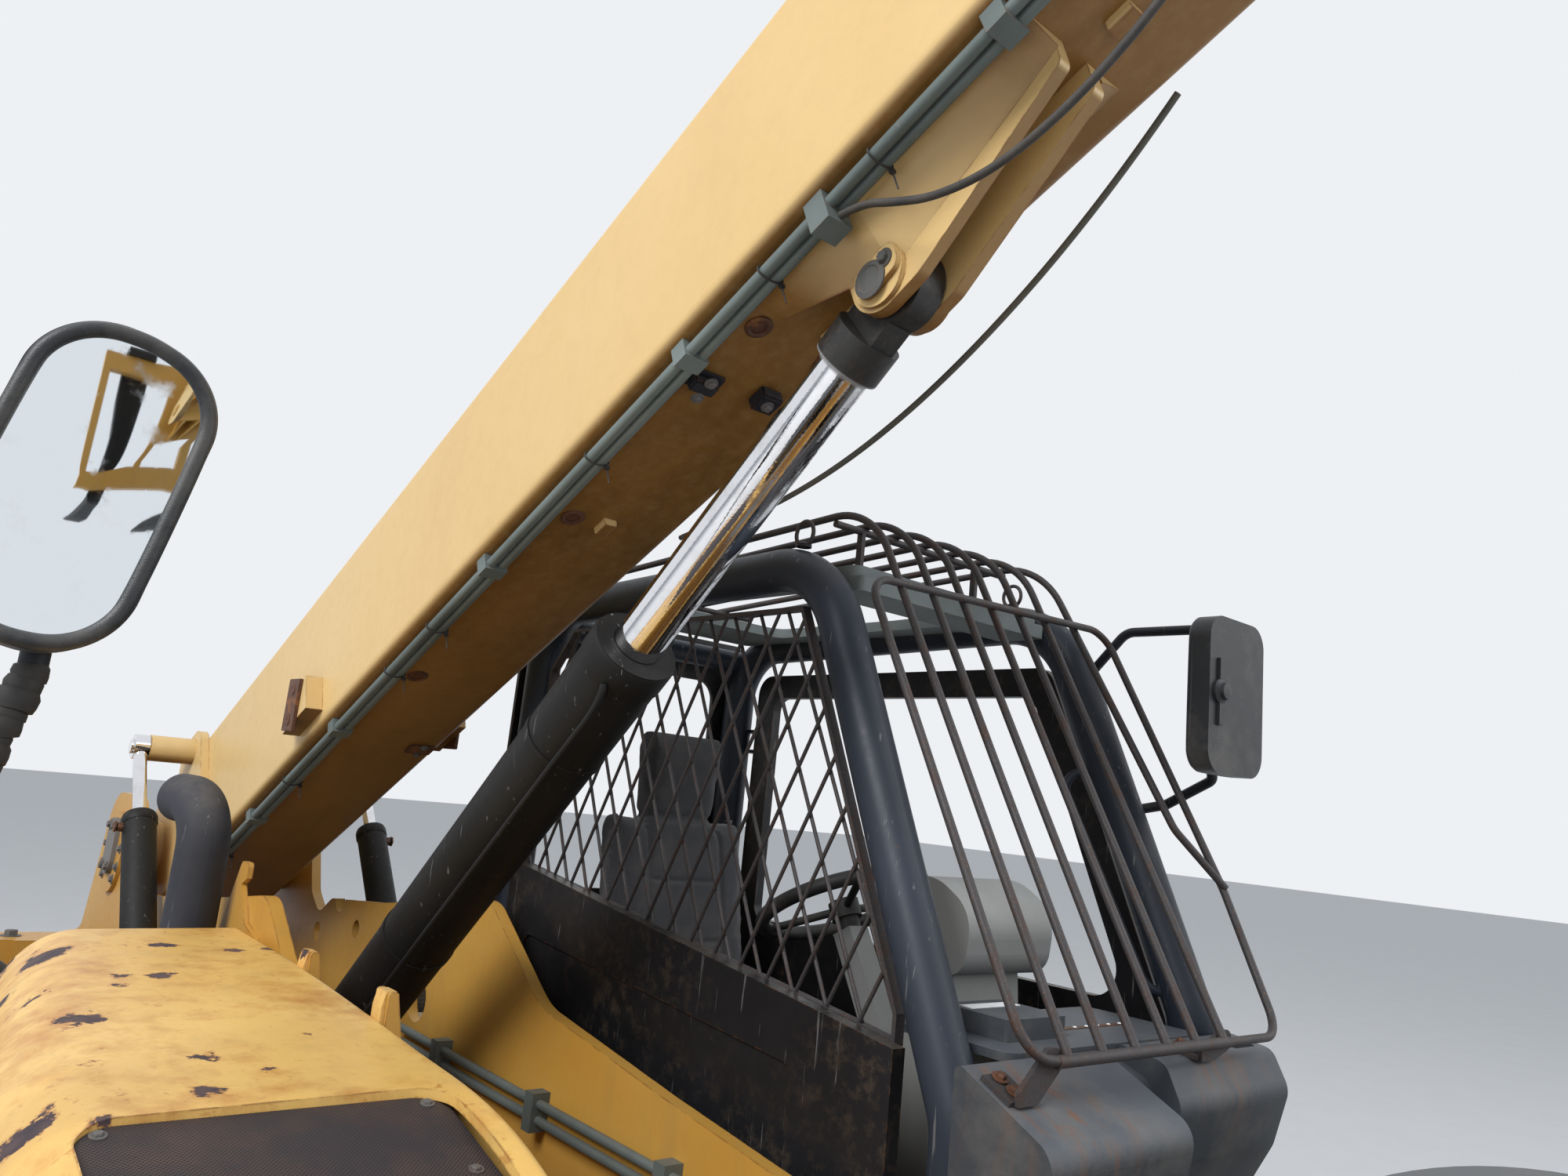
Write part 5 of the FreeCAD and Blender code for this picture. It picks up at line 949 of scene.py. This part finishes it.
def make_chassis_details():
    for hand, word in ((1, "left"), (-1, "right")):
        bolts(f"pivot_bolts_{word}", "chassis",
              [at(-100 + x, hand * 311, 1571 + z) for x, z in ((-34, 86), (34, 86), (-34, -46), (34, -46))],
              (0, hand, 0), 20, 12)
        bolts(f"tower_bolts_{word}", "chassis",
              [at(-100 + 112 * math.cos(a), hand * 297, 1571 + 112 * math.sin(a))
               for a in (math.radians(d) for d in (10, 170, 200, 225, 315, 340))], (0, hand, 0), 17, 10)
    bolts("weight_bolts", "chassis", [at(-915, y, 1180) for y in (-700, -420, 420, 700)], (0, 0, 1), 38, 22)
    bolts("pod_bolts", "chassis", [at(x, -1250, z) for x in (1640, 2150, 2660) for z in (620, 1130)], (0, -1, 0), 16, 9)
    bm = bmesh.new()
    turned = basis(at(1080, 900, 1275), (0, 0, 1))
    lathe(bm, turned, [(0, 0), (58, 0), (60, 3), (60, 16), (55, 20), (0, 21)], 36)
    slab(bm, turned, (-50, 50), (-8, 8), (18, 30), 4)
    mesh_piece("tank_cap", bm, "chassis", "black")
    for name in ("front", "rear"):
        x = 0 if name == "rear" else WHEELBASE
        for hand, word in ((1, "left"), (-1, "right")):
            bm = bmesh.new()
            for i in range(10):
                a = 2 * math.pi * i / 10
                place = at(x + 175 * math.cos(a), hand * (1050 + 58), AXLE_HEIGHT + 175 * math.sin(a))
                hex_head(bm, basis(place, (0, hand, 0), i * 0.5), 30, 24)
            hub = basis(at(x, hand * 1180, AXLE_HEIGHT), (0, hand, 0))
            for i in range(6):
                bolt = hub @ Matrix.Rotation(math.pi * i / 3, 4, "Z") @ Matrix.Translation((0.085, 0, -0.004))
                hex_head(bm, bolt, 14, 9)
            mesh_piece(f"wheel_nuts_{name}_{word}", bm, f"wheel_{name}_{word}", "bolt_steel")
    bm = bmesh.new()
    handle = bmesh.new()
    for x in (1700, 2600):
        turned = basis(at(x, -930, 1300), (0, -1, 0))
        slab(bm, turned, (-34, 34), (-24, 24), (-2, 5), 2)
        slab(handle, turned, (-26, 26), (-8, 8), (5, 14), 3)
    mesh_piece("hood_latch_plates", bm, "hood", "black")
    mesh_piece("hood_latch_levers", handle, "hood", "bolt_steel")
    bm = bmesh.new()
    turned = basis(at(2600, 1170, 1435), (0, 1, 0))
    lathe(bm, turned, [(0, -2), (13, -2), (13, 2), (9, 4), (0, 4)])
    mesh_piece("door_lock", bm, "door", "bolt_steel")


make_cables()
make_boom_fittings()
make_fittings()
make_hood()
make_mirrors()
make_cab_details()
make_chassis_details()
make_seat()


# Stage, lamps and camera

def make_stage():
    mesh = bpy.data.meshes.new("floor")
    size = 60
    mesh.from_pydata([(-size, -size, 0), (size, -size, 0), (size, size, 0), (-size, size, 0)], [], [(0, 1, 2, 3)])
    floor = new_object("floor", mesh)
    t = Tree("floor")
    grain = t.noise(3, 5)
    t.finish(t.mix(grain, (0.60, 0.60, 0.60), (0.66, 0.66, 0.655)), 0.8)
    mesh.materials.append(t.material)

    world = bpy.data.worlds.new("studio")
    bpy.context.scene.world = world
    world.use_nodes = True
    nodes, links = world.node_tree.nodes, world.node_tree.links
    lit = nodes["Background"]
    lit.inputs["Color"].default_value = (0.86, 0.92, 1, 1)
    lit.inputs["Strength"].default_value = 0.62
    seen = nodes.new("ShaderNodeBackground")
    seen.inputs["Color"].default_value = (0.90, 0.92, 0.95, 1)
    seen.inputs["Strength"].default_value = 0.95
    rays = nodes.new("ShaderNodeLightPath")
    either = nodes.new("ShaderNodeMath")
    either.operation = "MAXIMUM"
    links.new(rays.outputs["Is Camera Ray"], either.inputs[0])
    links.new(rays.outputs["Is Glossy Ray"], either.inputs[1])
    mix = nodes.new("ShaderNodeMixShader")
    links.new(either.outputs[0], mix.inputs[0])
    links.new(lit.outputs[0], mix.inputs[1])
    links.new(seen.outputs[0], mix.inputs[2])
    links.new(mix.outputs[0], nodes["World Output"].inputs["Surface"])


def make_lamp(name, place, target, size, power):
    lamp = bpy.data.lights.new(name, "AREA")
    lamp.size = size
    lamp.energy = power
    thing = new_object(name, lamp)
    thing.location = place
    thing.rotation_euler = (Vector(target) - Vector(place)).to_track_quat("-Z", "Y").to_euler()


def make_camera():
    camera = bpy.data.cameras.new("camera")
    camera.sensor_width = 36
    camera.lens = 36 * 1423 / 2000
    camera.clip_start = 0.02
    camera.clip_end = 200
    thing = new_object("camera", camera)
    right = Vector((0.6497, 0.7541, 0.0976))
    back = Vector((0.756, -0.6271, -0.1869))
    up = back.cross(right).normalized()
    right = up.cross(back).normalized()
    turn = Matrix((right, up, back.normalized())).transposed().to_4x4()
    thing.matrix_world = Matrix.Translation(at(4200, -1106, 1950)) @ turn
    bpy.context.scene.camera = thing


make_stage()
make_lamp("key", (2.0, -9.0, 9.0), (0, 0, 1.5), 6, 1500)
make_lamp("fill", (7.0, 6.0, 7.0), (0, 0, 1.0), 8, 500)
make_camera()
bpy.context.scene.view_settings.view_transform = "Standard"
